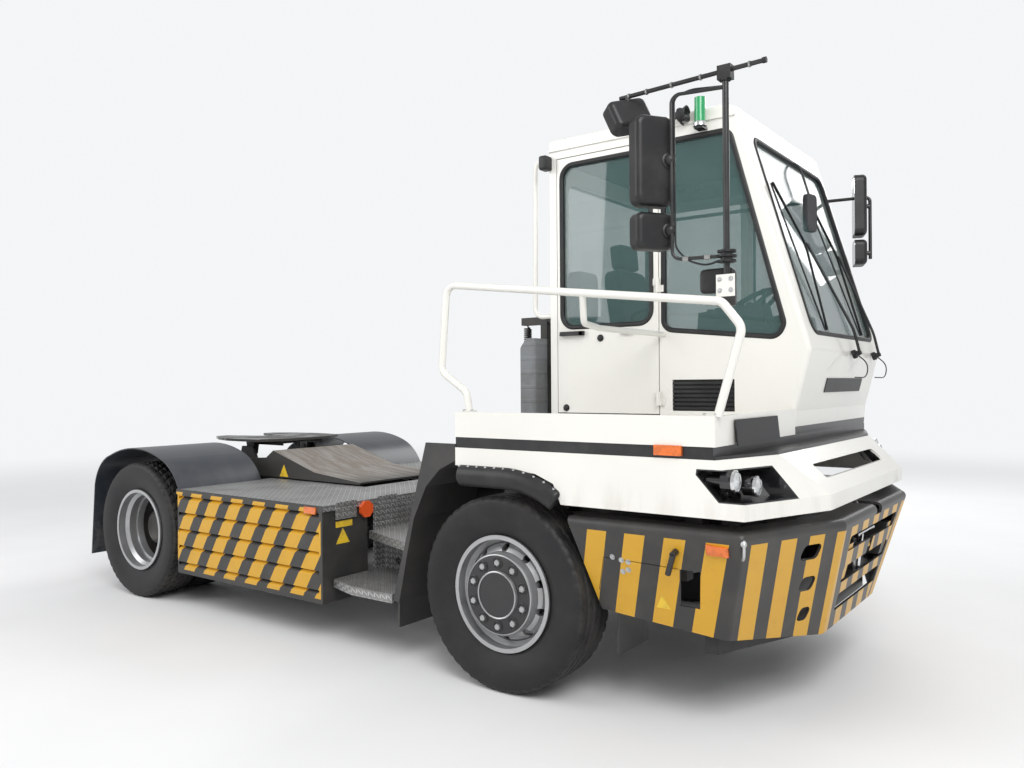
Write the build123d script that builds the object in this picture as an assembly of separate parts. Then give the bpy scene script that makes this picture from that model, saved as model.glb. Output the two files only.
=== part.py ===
"""Two-axle terminal tractor with a half-width cab, a side walkway and a lifting fifth wheel.

Millimetres. X points forward, Y to the left, Z up. The origin is on the ground, in the
middle of the vehicle's length and width.
"""

from build123d import *
from math import atan2, cos, degrees, hypot, radians, sin
import os

os.makedirs("parts", exist_ok=True)

# Whole vehicle
WHEELBASE = 3400
FRONT_REACH = 1545          # front axle to the nose of the bumper
REAR_REACH = 800            # rear axle to the rearmost lamp
WIDTH = 2500
MIRROR_REACH = 1345         # vehicle centre to the outer edge of a mirror
HALF_WIDTH = WIDTH / 2
FRONT_AXLE_X = (WHEELBASE + REAR_REACH - FRONT_REACH) / 2
REAR_AXLE_X = FRONT_AXLE_X - WHEELBASE

# Wheels
TYRE_RADIUS = 500
AXLE_Z = TYRE_RADIUS
RIM_RADIUS = 298.5          # over the rim flange
RIM_HALF_WIDTH = 121
FRONT_TYRE_WIDTH = 295
REAR_TYRE_WIDTH = 280
FRONT_WHEEL_Y = 1090
SHOULDER_RADIUS = 24        # between a tyre's sidewall and its tread
TWIN_SPACING = 325
TWIN_OUTER_Y = HALF_WIDTH - REAR_TYRE_WIDTH / 2
NUT_COUNT = 10
NUT_CIRCLE_RADIUS = 167.5
HAND_HOLE_RADIUS = 20
HAND_HOLE_CIRCLE = 229
RUNNING_GAP = 0.3           # between a shaft and its bore, and at seats
SPINDLE_RADIUS = 38
KINGPIN_Y = 950
KINGPIN_RADIUS = 22
ARM_REACH = 180             # kingpin back to the track rod's ball
BALL_RADIUS = 11
ARM_TOP = AXLE_Z - 72
ARM_BOTTOM = AXLE_Z - 96
BALL_FOOT = AXLE_Z - 118

# Chassis
RAIL_OUTER_Y = 425
RAIL_FLANGE = 80
RAIL_BOTTOM = 590
RAIL_TOP = 810
RAIL_WALL = 10
DECK_TOP = 845
DECK_THICKNESS = DECK_TOP - RAIL_TOP

# Body heights
BODY_BOTTOM = 991
LIP_TOP = 1061
BELT_BOTTOM = 1240
BELT_TOP = 1295
TRAY_TOP = 1427
BODY_WALL = 12
BODY_REAR = FRONT_AXLE_X - 260
BODY_FRONT = FRONT_AXLE_X + 1178

# Cab
CAB_RIGHT = -200
CAB_LEFT = HALF_WIDTH
CAB_REAR = FRONT_AXLE_X - 355
CAB_WALL = 45
CAB_FLOOR = 40
ROOF_TOP = 3108
ROOF_RISE = 78              # gutter to the roof's top
GUTTER_Z = ROOF_TOP - ROOF_RISE
CAB_FRONT_BOW = 14          # how far the front's foot leans back above the waist
CAB_FRONT_LOW = FRONT_AXLE_X + 1170
CAB_FRONT_MID = FRONT_AXLE_X + 1262
CAB_MID_Z = 1800
SILL_Z = 1922               # lower edge of the door glass
CAB_FRONT_HIGH = FRONT_AXLE_X + 884
DOOR_REAR = FRONT_AXLE_X - 300
DOOR_FRONT = FRONT_AXLE_X + 395
DOOR_BOTTOM = 1390
DOOR_TOP = GUTTER_Z - 55
DOOR_GAP = 6
GLASS_THICKNESS = 6
HINGE_RADIUS = 13
HINGE_OUT = 15              # hinge pin outside the cab's wall

# Lifting frame
LIFT_PIVOT_X = REAR_AXLE_X + 1450
LIFT_PIVOT_Z = 700
LIFT_DEGREES = 16
LIFT_PIN_RADIUS = 30
BEAM_OUTER_Y = 335
BEAM_WALL = 25
CYLINDER_Y = 240
CYLINDER_FOOT = (REAR_AXLE_X + 680, 380)
CYLINDER_EYE = (REAR_AXLE_X + 450, 800)
FIFTH_WHEEL_X = REAR_AXLE_X + 100
FIFTH_WHEEL_TOP = 1140
TRUNNION_Z = 1040
KINGPIN_BORE = 25.6


def ahead(distance):
    """X of a place so far ahead of the front axle."""
    return FRONT_AXLE_X + distance


def behind(distance):
    """X of a place so far ahead of the rear axle, or behind it when negative."""
    return REAR_AXLE_X + distance


def block(x, y, z):
    """Box between the two ends given for each axis."""
    size = [abs(end - start) for start, end in (x, y, z)]
    middle = [(start + end) / 2 for start, end in (x, y, z)]
    return Pos(*middle) * Box(*size)


def side_prism(points, y0, y1):
    """Outline of (x, z) points, carried from y0 to y1."""
    outline = Plane.XZ * make_face(Polyline(*points, close=True))
    return Pos(0, y0, 0) * extrude(outline, amount=-(y1 - y0))


def plan_prism(points, z0, z1):
    """Outline of (x, y) points, carried from z0 to z1."""
    return Pos(0, 0, z0) * extrude(make_face(Polyline(*points, close=True)), amount=z1 - z0)


def front_prism(points, x0, x1):
    """Outline of (y, z) points, carried from x0 to x1."""
    outline = Plane.YZ * make_face(Polyline(*points, close=True))
    return Pos(x0, 0, 0) * extrude(outline, amount=x1 - x0)


def rod(start, end, radius):
    """Round bar from one point to another."""
    line = Vector(*end) - Vector(*start)
    place = Plane(origin=start, z_dir=line)
    return place * Cylinder(radius, line.length, align=(Align.CENTER, Align.CENTER, Align.MIN))


def tube(points, bend, radius):
    """Round bar along straight runs joined by bends of one radius."""
    path = FilletPolyline(*points, radius=bend)
    return sweep(Plane(origin=path @ 0, z_dir=path % 0) * Circle(radius), path=path)


def other_side(shape):
    """The same piece on the vehicle's left."""
    return mirror(shape, about=Plane.XZ)


def save(node, *pieces):
    """Writes one sub-part, which may be several solids."""
    solids = [solid for piece in pieces for solid in piece.solids()]
    export_step(solids[0] if len(solids) == 1 else Compound(solids), f"parts/{node}.step")


def spun(points):
    """Ring or disc about the wheel's axle from (radius, outward) points, outward being -Y."""
    return revolve(make_face(Polyline(*[(r, -out) for r, out in points], close=True)), axis=Axis.Y)


# Wheels
def tyre(width):
    """Closed ring: bead, round sidewall, shoulder and flat tread."""
    half = width / 2
    bead = RIM_HALF_WIDTH - 21
    tread = half - SHOULDER_RADIUS - 12
    foot = TYRE_RADIUS - SHOULDER_RADIUS
    slant = SHOULDER_RADIUS * cos(radians(45))
    right = [
        Polyline((RIM_RADIUS - 12, 0), (RIM_RADIUS - 12, bead), (RIM_RADIUS + 3, bead + 8)),
        ThreePointArc(
            (RIM_RADIUS + 3, bead + 8),
            (RIM_RADIUS + 90, half - 1),
            (foot, half - 12),
        ),
        ThreePointArc((foot, half - 12), (foot + slant, tread + slant), (TYRE_RADIUS, tread)),
        Polyline((TYRE_RADIUS, tread), (TYRE_RADIUS, 0)),
        Polyline((TYRE_RADIUS, 0), (RIM_RADIUS - 12, 0)),
    ]
    half_section = make_face(Curve() + right)
    section = half_section + mirror(half_section, about=Plane.XZ)
    return revolve(section, axis=Axis.Y)


def rim_barrel():
    """Rim with its flanges, bead seats and well."""
    edge, seat, well = RIM_HALF_WIDTH, RIM_RADIUS - 13, RIM_RADIUS - 36
    outside = [
        (RIM_RADIUS, edge), (RIM_RADIUS, edge - 12), (seat, edge - 16), (seat, 62), (well, 42),
    ]
    inside = [(well - 8, 46), (seat - 9, 68), (seat - 9, edge)]
    profile = outside + [(r, -out) for r, out in reversed(outside)]
    profile += [(r, -out) for r, out in reversed(inside)] + inside
    return spun(profile)


def nuts(out_start, out_end):
    """Wheel nuts on their circle."""
    nut = extrude(RegularPolygon(17, 6), amount=out_end - out_start)
    outward = Pos(0, -out_start, 0) * Rot(90, 0, 0)
    return [outward * place * nut for place in PolarLocations(NUT_CIRCLE_RADIUS, NUT_COUNT)]


def front_wheel():
    """Steel wheel with a bulged disc, hand holes, nuts, hub and brake drum."""
    well = RIM_RADIUS - 44
    disc = spun([(well + 2, 14), (well + 2, 34), (232, 74), (206, 92), (0, 92), (0, 78), (200, 78),
                 (222, 64), (well - 12, 14)])
    disc -= [Rot(90, 0, 0) * place * Cylinder(HAND_HOLE_RADIUS, 200)
             for place in PolarLocations(HAND_HOLE_CIRCLE, NUT_COUNT, start_angle=180 / NUT_COUNT)]
    hub = spun([(0, 78), (90, 78), (90, 10), (205, 0), (205, -95), (190, -95), (190, -14), (75, -8),
                (75, -72), (SPINDLE_RADIUS + RUNNING_GAP, -72),
                (SPINDLE_RADIUS + RUNNING_GAP, 62), (0, 62)])
    cap = spun([(0, 92), (92, 92), (92, 112), (84, 120), (0, 122)])
    return rim_barrel() + disc + hub + cap + nuts(92, 118)


def rear_wheels():
    """Two rims whose discs meet between them, with the hub that carries both."""
    offset = TWIN_SPACING / 2
    well = RIM_RADIUS - 44
    disc = spun([(well + 2, -14), (well + 2, -36), (246, -90), (222, -offset), (0, -offset),
                 (0, 14 - offset), (210, 14 - offset), (232, -84), (well - 12, -14)])
    outer = rim_barrel() + disc
    inner = Pos(0, TWIN_SPACING, 0) * mirror(outer, about=Plane.XZ)
    hub = spun([(0, 14 - offset), (138, 14 - offset), (138, -104), (122, -92), (122, -30),
                (96, -18), (0, -18)])
    bore = spun([(0, -70), (SPINDLE_RADIUS + 12 + RUNNING_GAP, -70),
                 (SPINDLE_RADIUS + 12 + RUNNING_GAP, -TWIN_SPACING), (0, -TWIN_SPACING)])
    return outer + inner + hub + nuts(14 - offset, 44 - offset) - bore


def wheels():
    """Steered front wheels and twin rear wheels, each tyre on its rim."""
    sets = [
        ("front_tyre", Pos(ahead(0), -FRONT_WHEEL_Y, AXLE_Z) * tyre(FRONT_TYRE_WIDTH)),
        ("front_wheel", Pos(ahead(0), -FRONT_WHEEL_Y, AXLE_Z) * front_wheel()),
        ("rear_tyres", Compound([
            Pos(REAR_AXLE_X, -TWIN_OUTER_Y + step, AXLE_Z) * tyre(REAR_TYRE_WIDTH).solid()
            for step in (0, TWIN_SPACING)])),
        ("rear_wheels", Pos(REAR_AXLE_X, -TWIN_OUTER_Y, AXLE_Z) * rear_wheels()),
    ]
    for node, right in sets:
        save(node + "_right", right)
        save(node + "_left", other_side(right))


# Axles and chassis
def knuckle():
    """Stub axle: spindle, two ears over the kingpin, and the arm for the track rod."""
    x = ahead(0)
    spindle = rod((x, -KINGPIN_Y - 45, AXLE_Z), (x, -FRONT_WHEEL_Y - 55, AXLE_Z), SPINDLE_RADIUS)
    plate = block((x - 55, x + 55), (-KINGPIN_Y - 58, -KINGPIN_Y - 42), (AXLE_Z - 105, AXLE_Z + 105))
    ears = [block((x - 40, x + 40), (-KINGPIN_Y - 58, -KINGPIN_Y + 38), (AXLE_Z + a, AXLE_Z + b))
            for a, b in ((66, 96), (-96, -66))]
    pin = rod((x, -KINGPIN_Y, AXLE_Z - 96), (x, -KINGPIN_Y, AXLE_Z + 96), KINGPIN_RADIUS)
    ball_x = x - ARM_REACH
    arm = block((ball_x - 22, x - 30), (-KINGPIN_Y - 22, -KINGPIN_Y + 22), (ARM_BOTTOM, ARM_TOP))
    ball = rod((ball_x, -KINGPIN_Y, BALL_FOOT), (ball_x, -KINGPIN_Y, ARM_TOP - 8), BALL_RADIUS)
    return spindle + plate + ears + pin + arm + ball


def track_rod():
    """Bar between the two steering arms, with an eye round each ball."""
    x, y = ahead(-ARM_REACH), KINGPIN_Y
    low, high = BALL_FOOT, ARM_BOTTOM - 2
    middle = (low + high) / 2
    eye_radius = BALL_RADIUS + 13
    bar = rod((x, -y + eye_radius - 2, middle), (x, y - eye_radius + 2, middle), 9)
    eyes = [Pos(x, side * y, middle) * (Cylinder(eye_radius, high - low)
            - Cylinder(BALL_RADIUS + RUNNING_GAP, high - low)) for side in (-1, 1)]
    return bar + eyes


def front_axle():
    """Dropped beam with a boss for each kingpin, and the pads under the springs."""
    x = ahead(0)
    half = [(0, 400), (560, 400), (KINGPIN_Y - 60, AXLE_Z - 40), (KINGPIN_Y, AXLE_Z - 40),
            (KINGPIN_Y, AXLE_Z + 40), (KINGPIN_Y - 90, AXLE_Z + 40), (540, 500), (0, 500)]
    outline = half + [(-y, z) for y, z in reversed(half[1:-1])]
    beam = front_prism(outline, x - 45, x + 45)
    boss_height = 2 * (66 - RUNNING_GAP)
    for side in (-1, 1):
        place = Pos(x, side * KINGPIN_Y, AXLE_Z)
        beam += place * Cylinder(40, boss_height)
        beam -= place * Cylinder(KINGPIN_RADIUS + RUNNING_GAP, 400)
    return beam


def springs():
    """A leaf pack on each side, from a hanger ahead of the axle to one behind it."""
    def pack(side):
        y0, y1 = side * 345, side * 425
        top = RAIL_BOTTOM
        leaves = side_prism(
            [(ahead(-640), 548), (ahead(-640), 532), (ahead(-90), 500), (ahead(90), 500),
             (ahead(640), 532), (ahead(640), 548), (ahead(90), 540), (ahead(-90), 540)], y0, y1)
        hangers = [block((ahead(x - 45), ahead(x + 45)), (y0, y1), (500, top)) for x in (-620, 620)]
        return leaves + hangers
    return [pack(-1), pack(1)]


def rear_axle():
    """Axle housing with the differential, seated under the rails."""
    x = REAR_AXLE_X
    inner_end = TWIN_OUTER_Y - TWIN_SPACING / 2 - 30
    body = rod((x, -inner_end + 180, AXLE_Z), (x, inner_end - 180, AXLE_Z), 72)
    spindles = rod((x, -inner_end - 80, AXLE_Z), (x, inner_end + 80, AXLE_Z), SPINDLE_RADIUS + 12)
    banjo = Pos(x, 0, AXLE_Z) * Rot(0, 90, 0) * Cylinder(215, 220)
    nose = rod((x + 60, 0, AXLE_Z), (x + 330, 0, AXLE_Z), 85)
    seats = [block((x - 130, x + 130), (side * 345, side * 425), (AXLE_Z - 30, RAIL_BOTTOM))
             for side in (-1, 1)]
    return body + spindles + fillet(banjo.edges(), 60) + nose + seats


def rail(side):
    """Channel rail, open towards the middle, cut higher over the rear axle's seat."""
    web = RAIL_OUTER_Y - RAIL_WALL
    outline = [
        (RAIL_OUTER_Y, RAIL_BOTTOM), (RAIL_OUTER_Y, RAIL_TOP),
        (RAIL_OUTER_Y - RAIL_FLANGE, RAIL_TOP), (RAIL_OUTER_Y - RAIL_FLANGE, RAIL_TOP - RAIL_WALL),
        (web, RAIL_TOP - RAIL_WALL), (web, RAIL_BOTTOM + RAIL_WALL),
        (RAIL_OUTER_Y - RAIL_FLANGE, RAIL_BOTTOM + RAIL_WALL),
        (RAIL_OUTER_Y - RAIL_FLANGE, RAIL_BOTTOM),
    ]
    return front_prism([(side * y, z) for y, z in outline], behind(-640), ahead(1130))


def cross_members():
    """Box members between the rails' webs, with the lift pivot pin and the cylinder hangers."""
    web = RAIL_OUTER_Y - RAIL_WALL
    members = [block((x - 40, x + 40), (-web, web), (RAIL_BOTTOM + 110, RAIL_TOP - RAIL_WALL))
               for x in (ahead(1050), ahead(-900), behind(-560))]
    pivot = rod((LIFT_PIVOT_X, -web, LIFT_PIVOT_Z), (LIFT_PIVOT_X, web, LIFT_PIVOT_Z),
                LIFT_PIN_RADIUS)
    foot_x, foot_z = CYLINDER_FOOT
    hangers = rod((foot_x, -370, foot_z), (foot_x, 370, foot_z), 25)
    for side in (-1, 1):
        hangers += block((foot_x - 60, foot_x + 60), (side * 350, side * 370),
                         (foot_z - 45, RAIL_BOTTOM))
    return members + [pivot, hangers]


def engine():
    """Engine and gearbox as one plain block on four feet over the rails."""
    block_part = block((ahead(-250), ahead(820)), (-320, 320), (615, 1205))
    gearbox = block((ahead(-720), ahead(-250)), (-190, 190), (560, 905))
    feet = [block((ahead(x), ahead(x + 90)), (side * 300, side * 420), (RAIL_TOP, RAIL_TOP + 45))
            for x in (-180, 660) for side in (-1, 1)]
    return block_part + gearbox + feet


def propshaft():
    """Shaft from the gearbox to the axle's nose, with a flange at each end."""
    start = (ahead(-720), 0, 650)
    end = (behind(330), 0, AXLE_Z)
    shaft = rod(start, end, 42)
    flanges = [rod((start[0], 0, 650), (start[0] - 30, 0, 650), 75),
               rod((end[0], 0, end[2]), (end[0] + 30, 0, end[2]), 75)]
    shaft = shaft - block((start[0], start[0] + 100), (-99, 99), (500, 800))
    shaft = shaft - block((end[0] - 100, end[0]), (-99, 99), (400, 700))
    return shaft + flanges


def chassis():
    """Everything that carries the body and runs between the wheels."""
    save("knuckle_right", knuckle())
    save("knuckle_left", other_side(knuckle()))
    save("track_rod", track_rod())
    save("front_axle_beam", front_axle())
    save("leaf_springs", *springs())
    save("rear_axle", rear_axle())
    save("frame_rails", rail(-1), rail(1))
    save("cross_members", *cross_members(), rear_carrier())
    save("engine_block", engine())
    save("propshaft", propshaft())


# Front bumper
BUMPER_TOP = 940
BUMPER_WALL = 14
BUMPER_FLANGE = 150         # width of the top, from the face inwards
BUMPER_BEND = 30            # outside radius of every bend
BUMPER_REAR = 430           # rear of the side's top edge, ahead of the front axle
SIDE_FOLD_X = 1307          # fold between side and corner, at the top
NOSE_FOLD_Y = 650           # fold between corner and nose, at the top
SIDE_SLOPE = 146 / 499      # how far the sides lean inwards for each unit down
NOSE_SLOPE = 160 / 582
FOLD_SLOPE = 135 / 499      # how far the side fold leans back for each unit down
NOSE_FOOT = 358
FOOT_LINE = [(552, 492), (1172, 441), (1385, NOSE_FOOT)]    # lower edge, (ahead, height)
TOW_PIN_X = FRONT_AXLE_X + 1412
TOW_PIN_RADIUS = 17


def bend_loss(slope):
    """How far the round top bend ends short of the corner between the top and a leaning face."""
    return BUMPER_BEND * (slope + hypot(1, slope) - 1)


def bumper_outline(z, inset):
    """Corners of the bumper in plan at a height, the whole outline moved inwards."""
    down = BUMPER_TOP - z
    corner = Vector(FRONT_REACH - SIDE_FOLD_X, NOSE_FOLD_Y - HALF_WIDTH).normalized()
    side_y = HALF_WIDTH + bend_loss(SIDE_SLOPE) - down * SIDE_SLOPE - inset
    nose = FRONT_REACH + bend_loss(NOSE_SLOPE) - down * NOSE_SLOPE - inset
    fold = Vector(SIDE_FOLD_X - down * FOLD_SLOPE, HALF_WIDTH + bend_loss(SIDE_SLOPE) - down * SIDE_SLOPE)
    fold += Vector(corner.Y, -corner.X) * inset
    side_x = fold.X + corner.X / corner.Y * (side_y - fold.Y)
    nose_y = fold.Y + corner.Y / corner.X * (nose - fold.X)
    left = [(ahead(BUMPER_REAR - 200), side_y), (ahead(side_x), side_y), (ahead(nose), nose_y)]
    return left + [(x, -y) for x, y in reversed(left)]


def bumper_block(inset, top, bend):
    """Solid inside the folded plate's faces, its top and folds bent to a radius."""
    low = NOSE_FOOT - 60
    sections = [Pos(0, 0, z) * make_face(Polyline(*bumper_outline(z, inset), close=True))
                for z in (low, top)]
    solid = loft(sections, ruled=True)
    rear = ahead(BUMPER_REAR - 199)
    folds = [edge for edge in solid.edges() if edge.center().X > rear and edge.center().Z > low + 1]
    return fillet(folds, bend)


def corner_plane(side):
    """Plane on a corner face: x from the side fold's top towards the nose, y up the face."""
    origin = Vector(ahead(SIDE_FOLD_X), side * (HALF_WIDTH + bend_loss(SIDE_SLOPE)), BUMPER_TOP)
    along = Vector(FRONT_REACH - SIDE_FOLD_X, side * (NOSE_FOLD_Y - HALF_WIDTH), 0).normalized()
    down = Vector(-FOLD_SLOPE, -side * SIDE_SLOPE, -1).normalized()
    outward = along.cross(down) * side
    return Plane(origin=origin, x_dir=along, z_dir=outward)


def foothold(side, start, low, high, width):
    """Slot with round ends through a corner face, leaning with the stripes."""
    plane = corner_plane(side)
    up = abs(plane.y_dir.Z)
    y0, y1 = [(z - BUMPER_TOP) / up * (1 if plane.y_dir.Z > 0 else -1) for z in (low, high)]
    lean = (high - low) * FOOTHOLD_LEAN
    corners = [(start, y0), (start + width, y0), (start + width + lean, y1), (start + lean, y1)]
    outline = make_face(Polyline(*corners, close=True))
    outline = fillet(outline.vertices(), (high - low) * 0.36)
    return plane * Pos(0, 0, -60) * extrude(outline, amount=120)


def nose_slot(half_low, half_high, low, high):
    """Long slot across the nose face, its ends leaning with the folds."""
    corners = [(-half_low, low), (half_low, low), (half_high, high), (-half_high, high)]
    outline = Plane.YZ * make_face(Polyline(*corners, close=True))
    outline = fillet(outline.vertices(), 18)
    return Pos(ahead(FRONT_REACH - 260), 0, 0) * extrude(outline, amount=300)


# Footholds: start along the corner face at the low edge, low and high z, width
FOOTHOLD_LEAN = 0.22
FOOTHOLDS = [(406, 772, 845, 121), (460, 615, 686, 95), (515, 460, 528, 70)]
# Nose slots: half width at the low and high edge, low and high z
NOSE_SLOTS = [(460, 480, 762, 838), (425, 445, 600, 682), (388, 404, 452, 540)]
SHELF_BOTTOMS = (572, 712)  # under the strips beside the middle slot
SHELF_THICKNESS = 16


def front_bumper():
    """Folded plate bumper: bent top, leaning faces, footholds, slots and stays to the rails."""
    wall = BUMPER_WALL
    shell = bumper_block(0, BUMPER_TOP, BUMPER_BEND)
    shell -= bumper_block(wall, BUMPER_TOP - wall, BUMPER_BEND - wall)
    mouth = bumper_outline(BUMPER_TOP, BUMPER_FLANGE)
    shell -= plan_prism(mouth, BUMPER_TOP - wall - 1, BUMPER_TOP + 1)
    foot = [(ahead(x), z) for x, z in FOOT_LINE]
    below = [(ahead(0), FOOT_LINE[0][1]), *foot, (ahead(FRONT_REACH + 9), NOSE_FOOT),
             (ahead(FRONT_REACH + 9), 0), (ahead(0), 0)]
    behind_edge = [(ahead(0), BUMPER_TOP + 9), (ahead(BUMPER_REAR - 2), BUMPER_TOP + 9), foot[0],
                   (ahead(0), FOOT_LINE[0][1])]
    shell -= side_prism(below, -HALF_WIDTH - 9, HALF_WIDTH + 9)
    shell -= side_prism(behind_edge, -HALF_WIDTH - 9, HALF_WIDTH + 9)
    for side in (-1, 1):
        shell -= [foothold(side, *row) for row in FOOTHOLDS]
    shell -= [nose_slot(*row) for row in NOSE_SLOTS]
    notch = block((TOW_PIN_X - 34, ahead(FRONT_REACH + 9)), (-52, 52), (BUMPER_TOP - 52, BUMPER_TOP + 1))
    window = block((TOW_PIN_X + 20, ahead(FRONT_REACH + 9)), (-32, 32), (670, 770))
    return shell - notch - window - hatch_cuts() + bumper_stays()


HATCH_OPENING = [(965, 573), (1063, 573), (1088, 748), (990, 748)]
HATCH_SEAM = [(552, 590), (606, 762), (984, 752)]
SEAM_WIDTH = 5
SEAM_DEPTH = 4


def hatch_cuts():
    """In the right side: the opening at the hatch's front and the seams at its rear and top."""
    opening = side_prism([(ahead(x), z) for x, z in HATCH_OPENING], -HALF_WIDTH - 20, -HALF_WIDTH + 150)
    (x0, z0), (x1, z1), (x2, z2) = HATCH_SEAM
    bands = [[(x0, z0), (x1, z1), (x1 + SEAM_WIDTH, z1), (x0 + SEAM_WIDTH, z0)],
             [(x1, z1 - SEAM_WIDTH), (x1, z1), (x2, z2), (x2, z2 - SEAM_WIDTH)]]
    seams = Part() + [side_prism([(ahead(x), z) for x, z in band], -HALF_WIDTH - 20, -HALF_WIDTH + 200)
                      for band in bands]
    skin = bumper_block(SEAM_DEPTH, BUMPER_TOP - BUMPER_WALL, BUMPER_BEND - SEAM_DEPTH)
    return opening + (seams - skin)


def bumper_stays():
    """Two plates from the rails' front ends to the nose."""
    low, high = RAIL_BOTTOM + 20, RAIL_TOP - 20
    front = [(nose_x(z) - BUMPER_WALL / 2, z) for z in (low, high)]
    return [side_prism([(ahead(1130), low), *front, (ahead(1130), high)], side * 345, side * 425)
            for side in (-1, 1)]


def nose_x(z):
    """X of the nose's outer face at a height."""
    return ahead(FRONT_REACH + bend_loss(NOSE_SLOPE) - (BUMPER_TOP - z) * NOSE_SLOPE)


def tow_pin():
    """Drop-in pin with its loop, through the shelves behind the bumper's nose."""
    x = TOW_PIN_X
    pin = rod((x, 0, SHELF_BOTTOMS[0] - 30), (x, 0, 905), TOW_PIN_RADIUS)
    return pin + Pos(x, 0, 927) * Rot(90, 0, 0) * Torus(22, 7)


def tow_shelves():
    """Two shelves behind the nose, bored for the tow pin."""
    shelves = Part() + [block((TOW_PIN_X - 60, nose_x(z) - 4), (-60, 60), (z, z + SHELF_THICKNESS))
                        for z in SHELF_BOTTOMS]
    return shelves - Pos(TOW_PIN_X, 0, 700) * Cylinder(TOW_PIN_RADIUS + RUNNING_GAP, 400)


# Lower body, belt and walkway
BODY_FOLD_TOP = (1178, 1305, 810)       # side fold and nose ahead, nose fold's y, at the belt
BODY_FOLD_LIP = (1305, 1505, 720)       # the same at the crease above the lip
NOSE_SLOT_HALF = 565
NOSE_SLOT_Z = (1118, 1179)
LAMP_RECESS = [(1093, 1200), (1089, 1175), (1193, LIP_TOP), (1600, LIP_TOP), (1600, 1200)]
LAMP_RECESS_INNER = 925                 # y of the recess's inner end on the corner face
BUCKET_DEPTH = 110
BUCKET_WALL = 6
HEADLAMPS = [(1256, 1203, 1150, 46), (1307, 1092, 1123, 42)]    # centre ahead, y, z and radius


def body_skin(inset, low, high):
    """Solid inside the skirt and the three-faced nose, from a foot height up to the belt."""
    def section(fold, z):
        front_side, front_middle, half_middle = fold
        left = [(BODY_REAR, HALF_WIDTH - inset), (ahead(front_side) - inset, HALF_WIDTH - inset),
                (ahead(front_middle) - inset, half_middle)]
        points = left + [(x, -y) for x, y in reversed(left)]
        return Pos(0, 0, z) * make_face(Polyline(*points, close=True))

    crease = section(BODY_FOLD_LIP, LIP_TOP)
    return (loft([section(BODY_FOLD_TOP, high), crease], ruled=True)
            + loft([crease, section(BODY_FOLD_LIP, low)], ruled=True))


def lamp_recess(side, gap):
    """Prism through the corner's recess for the headlamps, made smaller by a gap."""
    corners = [(ahead(x + gap * 1.2), z) for x, z in LAMP_RECESS]
    low, high = LIP_TOP + gap, LAMP_RECESS[0][1] - gap
    room = side_prism(corners, side * (LAMP_RECESS_INNER + gap), side * (HALF_WIDTH + 20))
    return room & block((ahead(900), ahead(1700)), (-HALF_WIDTH - 20, HALF_WIDTH + 20), (low, high))


def headlamp(side):
    """Moulded bucket seated in the recess, with two round lamps standing in it."""
    outside = body_skin(0, BODY_BOTTOM, BELT_BOTTOM)
    bucket = lamp_recess(side, 0) & outside
    bucket -= body_skin(BUCKET_DEPTH, BODY_BOTTOM, BELT_BOTTOM)
    hollow = lamp_recess(side, BUCKET_WALL) - body_skin(BUCKET_DEPTH - BUCKET_WALL, BODY_BOTTOM, BELT_BOTTOM)
    bucket -= hollow
    for x, y, z, radius in HEADLAMPS:
        centre = (ahead(x), side * y, z)
        shell = rod((ahead(x - 60), side * y, z), (ahead(x - 14), side * y, z), radius)
        dome = Pos(*centre) * Rot(0, 90, 0) * Pos(0, 0, -14) * extrude(Circle(radius), amount=14, taper=40)
        stem = rod((ahead(x - 130), side * y, z), (ahead(x - 55), side * y, z), radius * 0.5)
        bucket += (shell + dome + stem) & outside
    return bucket


def lower_body():
    """Skirt panels and the three-faced nose above the bumper, open below and behind."""
    shell = body_skin(0, BODY_BOTTOM, BELT_BOTTOM)
    shell -= body_skin(BODY_WALL, BODY_BOTTOM - 1, BELT_BOTTOM - BODY_WALL)
    arch = [(-161, 1147), (3, 1146), (135, 1143), (249, 1130), (355, 1088), (398, 990),
            (398, 900), (-300, 900), (-300, 1147)]
    for side in (-1, 1):
        shell -= side_prism([(ahead(x), z) for x, z in arch], side * 1200, side * 1260)
        shell -= lamp_recess(side, 0)
    bay = block((BODY_REAR - 1, ahead(900)), (-425, 425), (BELT_BOTTOM - 60, BELT_BOTTOM + 1))
    slot_low, slot_high = NOSE_SLOT_Z
    slot = nose_slot(NOSE_SLOT_HALF, NOSE_SLOT_HALF, slot_low, slot_high)
    return shell - bay - slot


def belt():
    """Black floor frame with its front shelf, between the skirt and the walkway."""
    low = [(BODY_REAR, HALF_WIDTH - 5), (BODY_FRONT - 4, HALF_WIDTH - 5), (ahead(1296), 806)]
    shelf = plan_prism(low + [(x, -y) for x, y in reversed(low)], BELT_BOTTOM, BELT_BOTTOM + 14)
    upper = block((BODY_REAR, CAB_FRONT_LOW - 2), (5 - HALF_WIDTH, HALF_WIDTH - 5),
                  (BELT_BOTTOM + 14, BELT_TOP))
    well = block((ahead(-200), ahead(880)), (-1100, 1100), (BELT_BOTTOM - 1, BELT_TOP - 12))
    return shelf + upper - well


def walkway():
    """Tray beside the cab: floor, outer side and front wall."""
    outline = [(BODY_REAR, -HALF_WIDTH), (CAB_FRONT_LOW + 8, -HALF_WIDTH),
               (CAB_FRONT_LOW + 8, CAB_RIGHT), (BODY_REAR, CAB_RIGHT)]
    tray = plan_prism(outline, BELT_TOP, TRAY_TOP)
    room = block((BODY_REAR - 1, CAB_FRONT_LOW - 4), (8 - HALF_WIDTH, CAB_RIGHT + 1),
                 (BELT_TOP + 12, TRAY_TOP + 1))
    return tray - room


FLARE_OUT = 35
FLARE_HALF = 55             # half the flare's height


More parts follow.
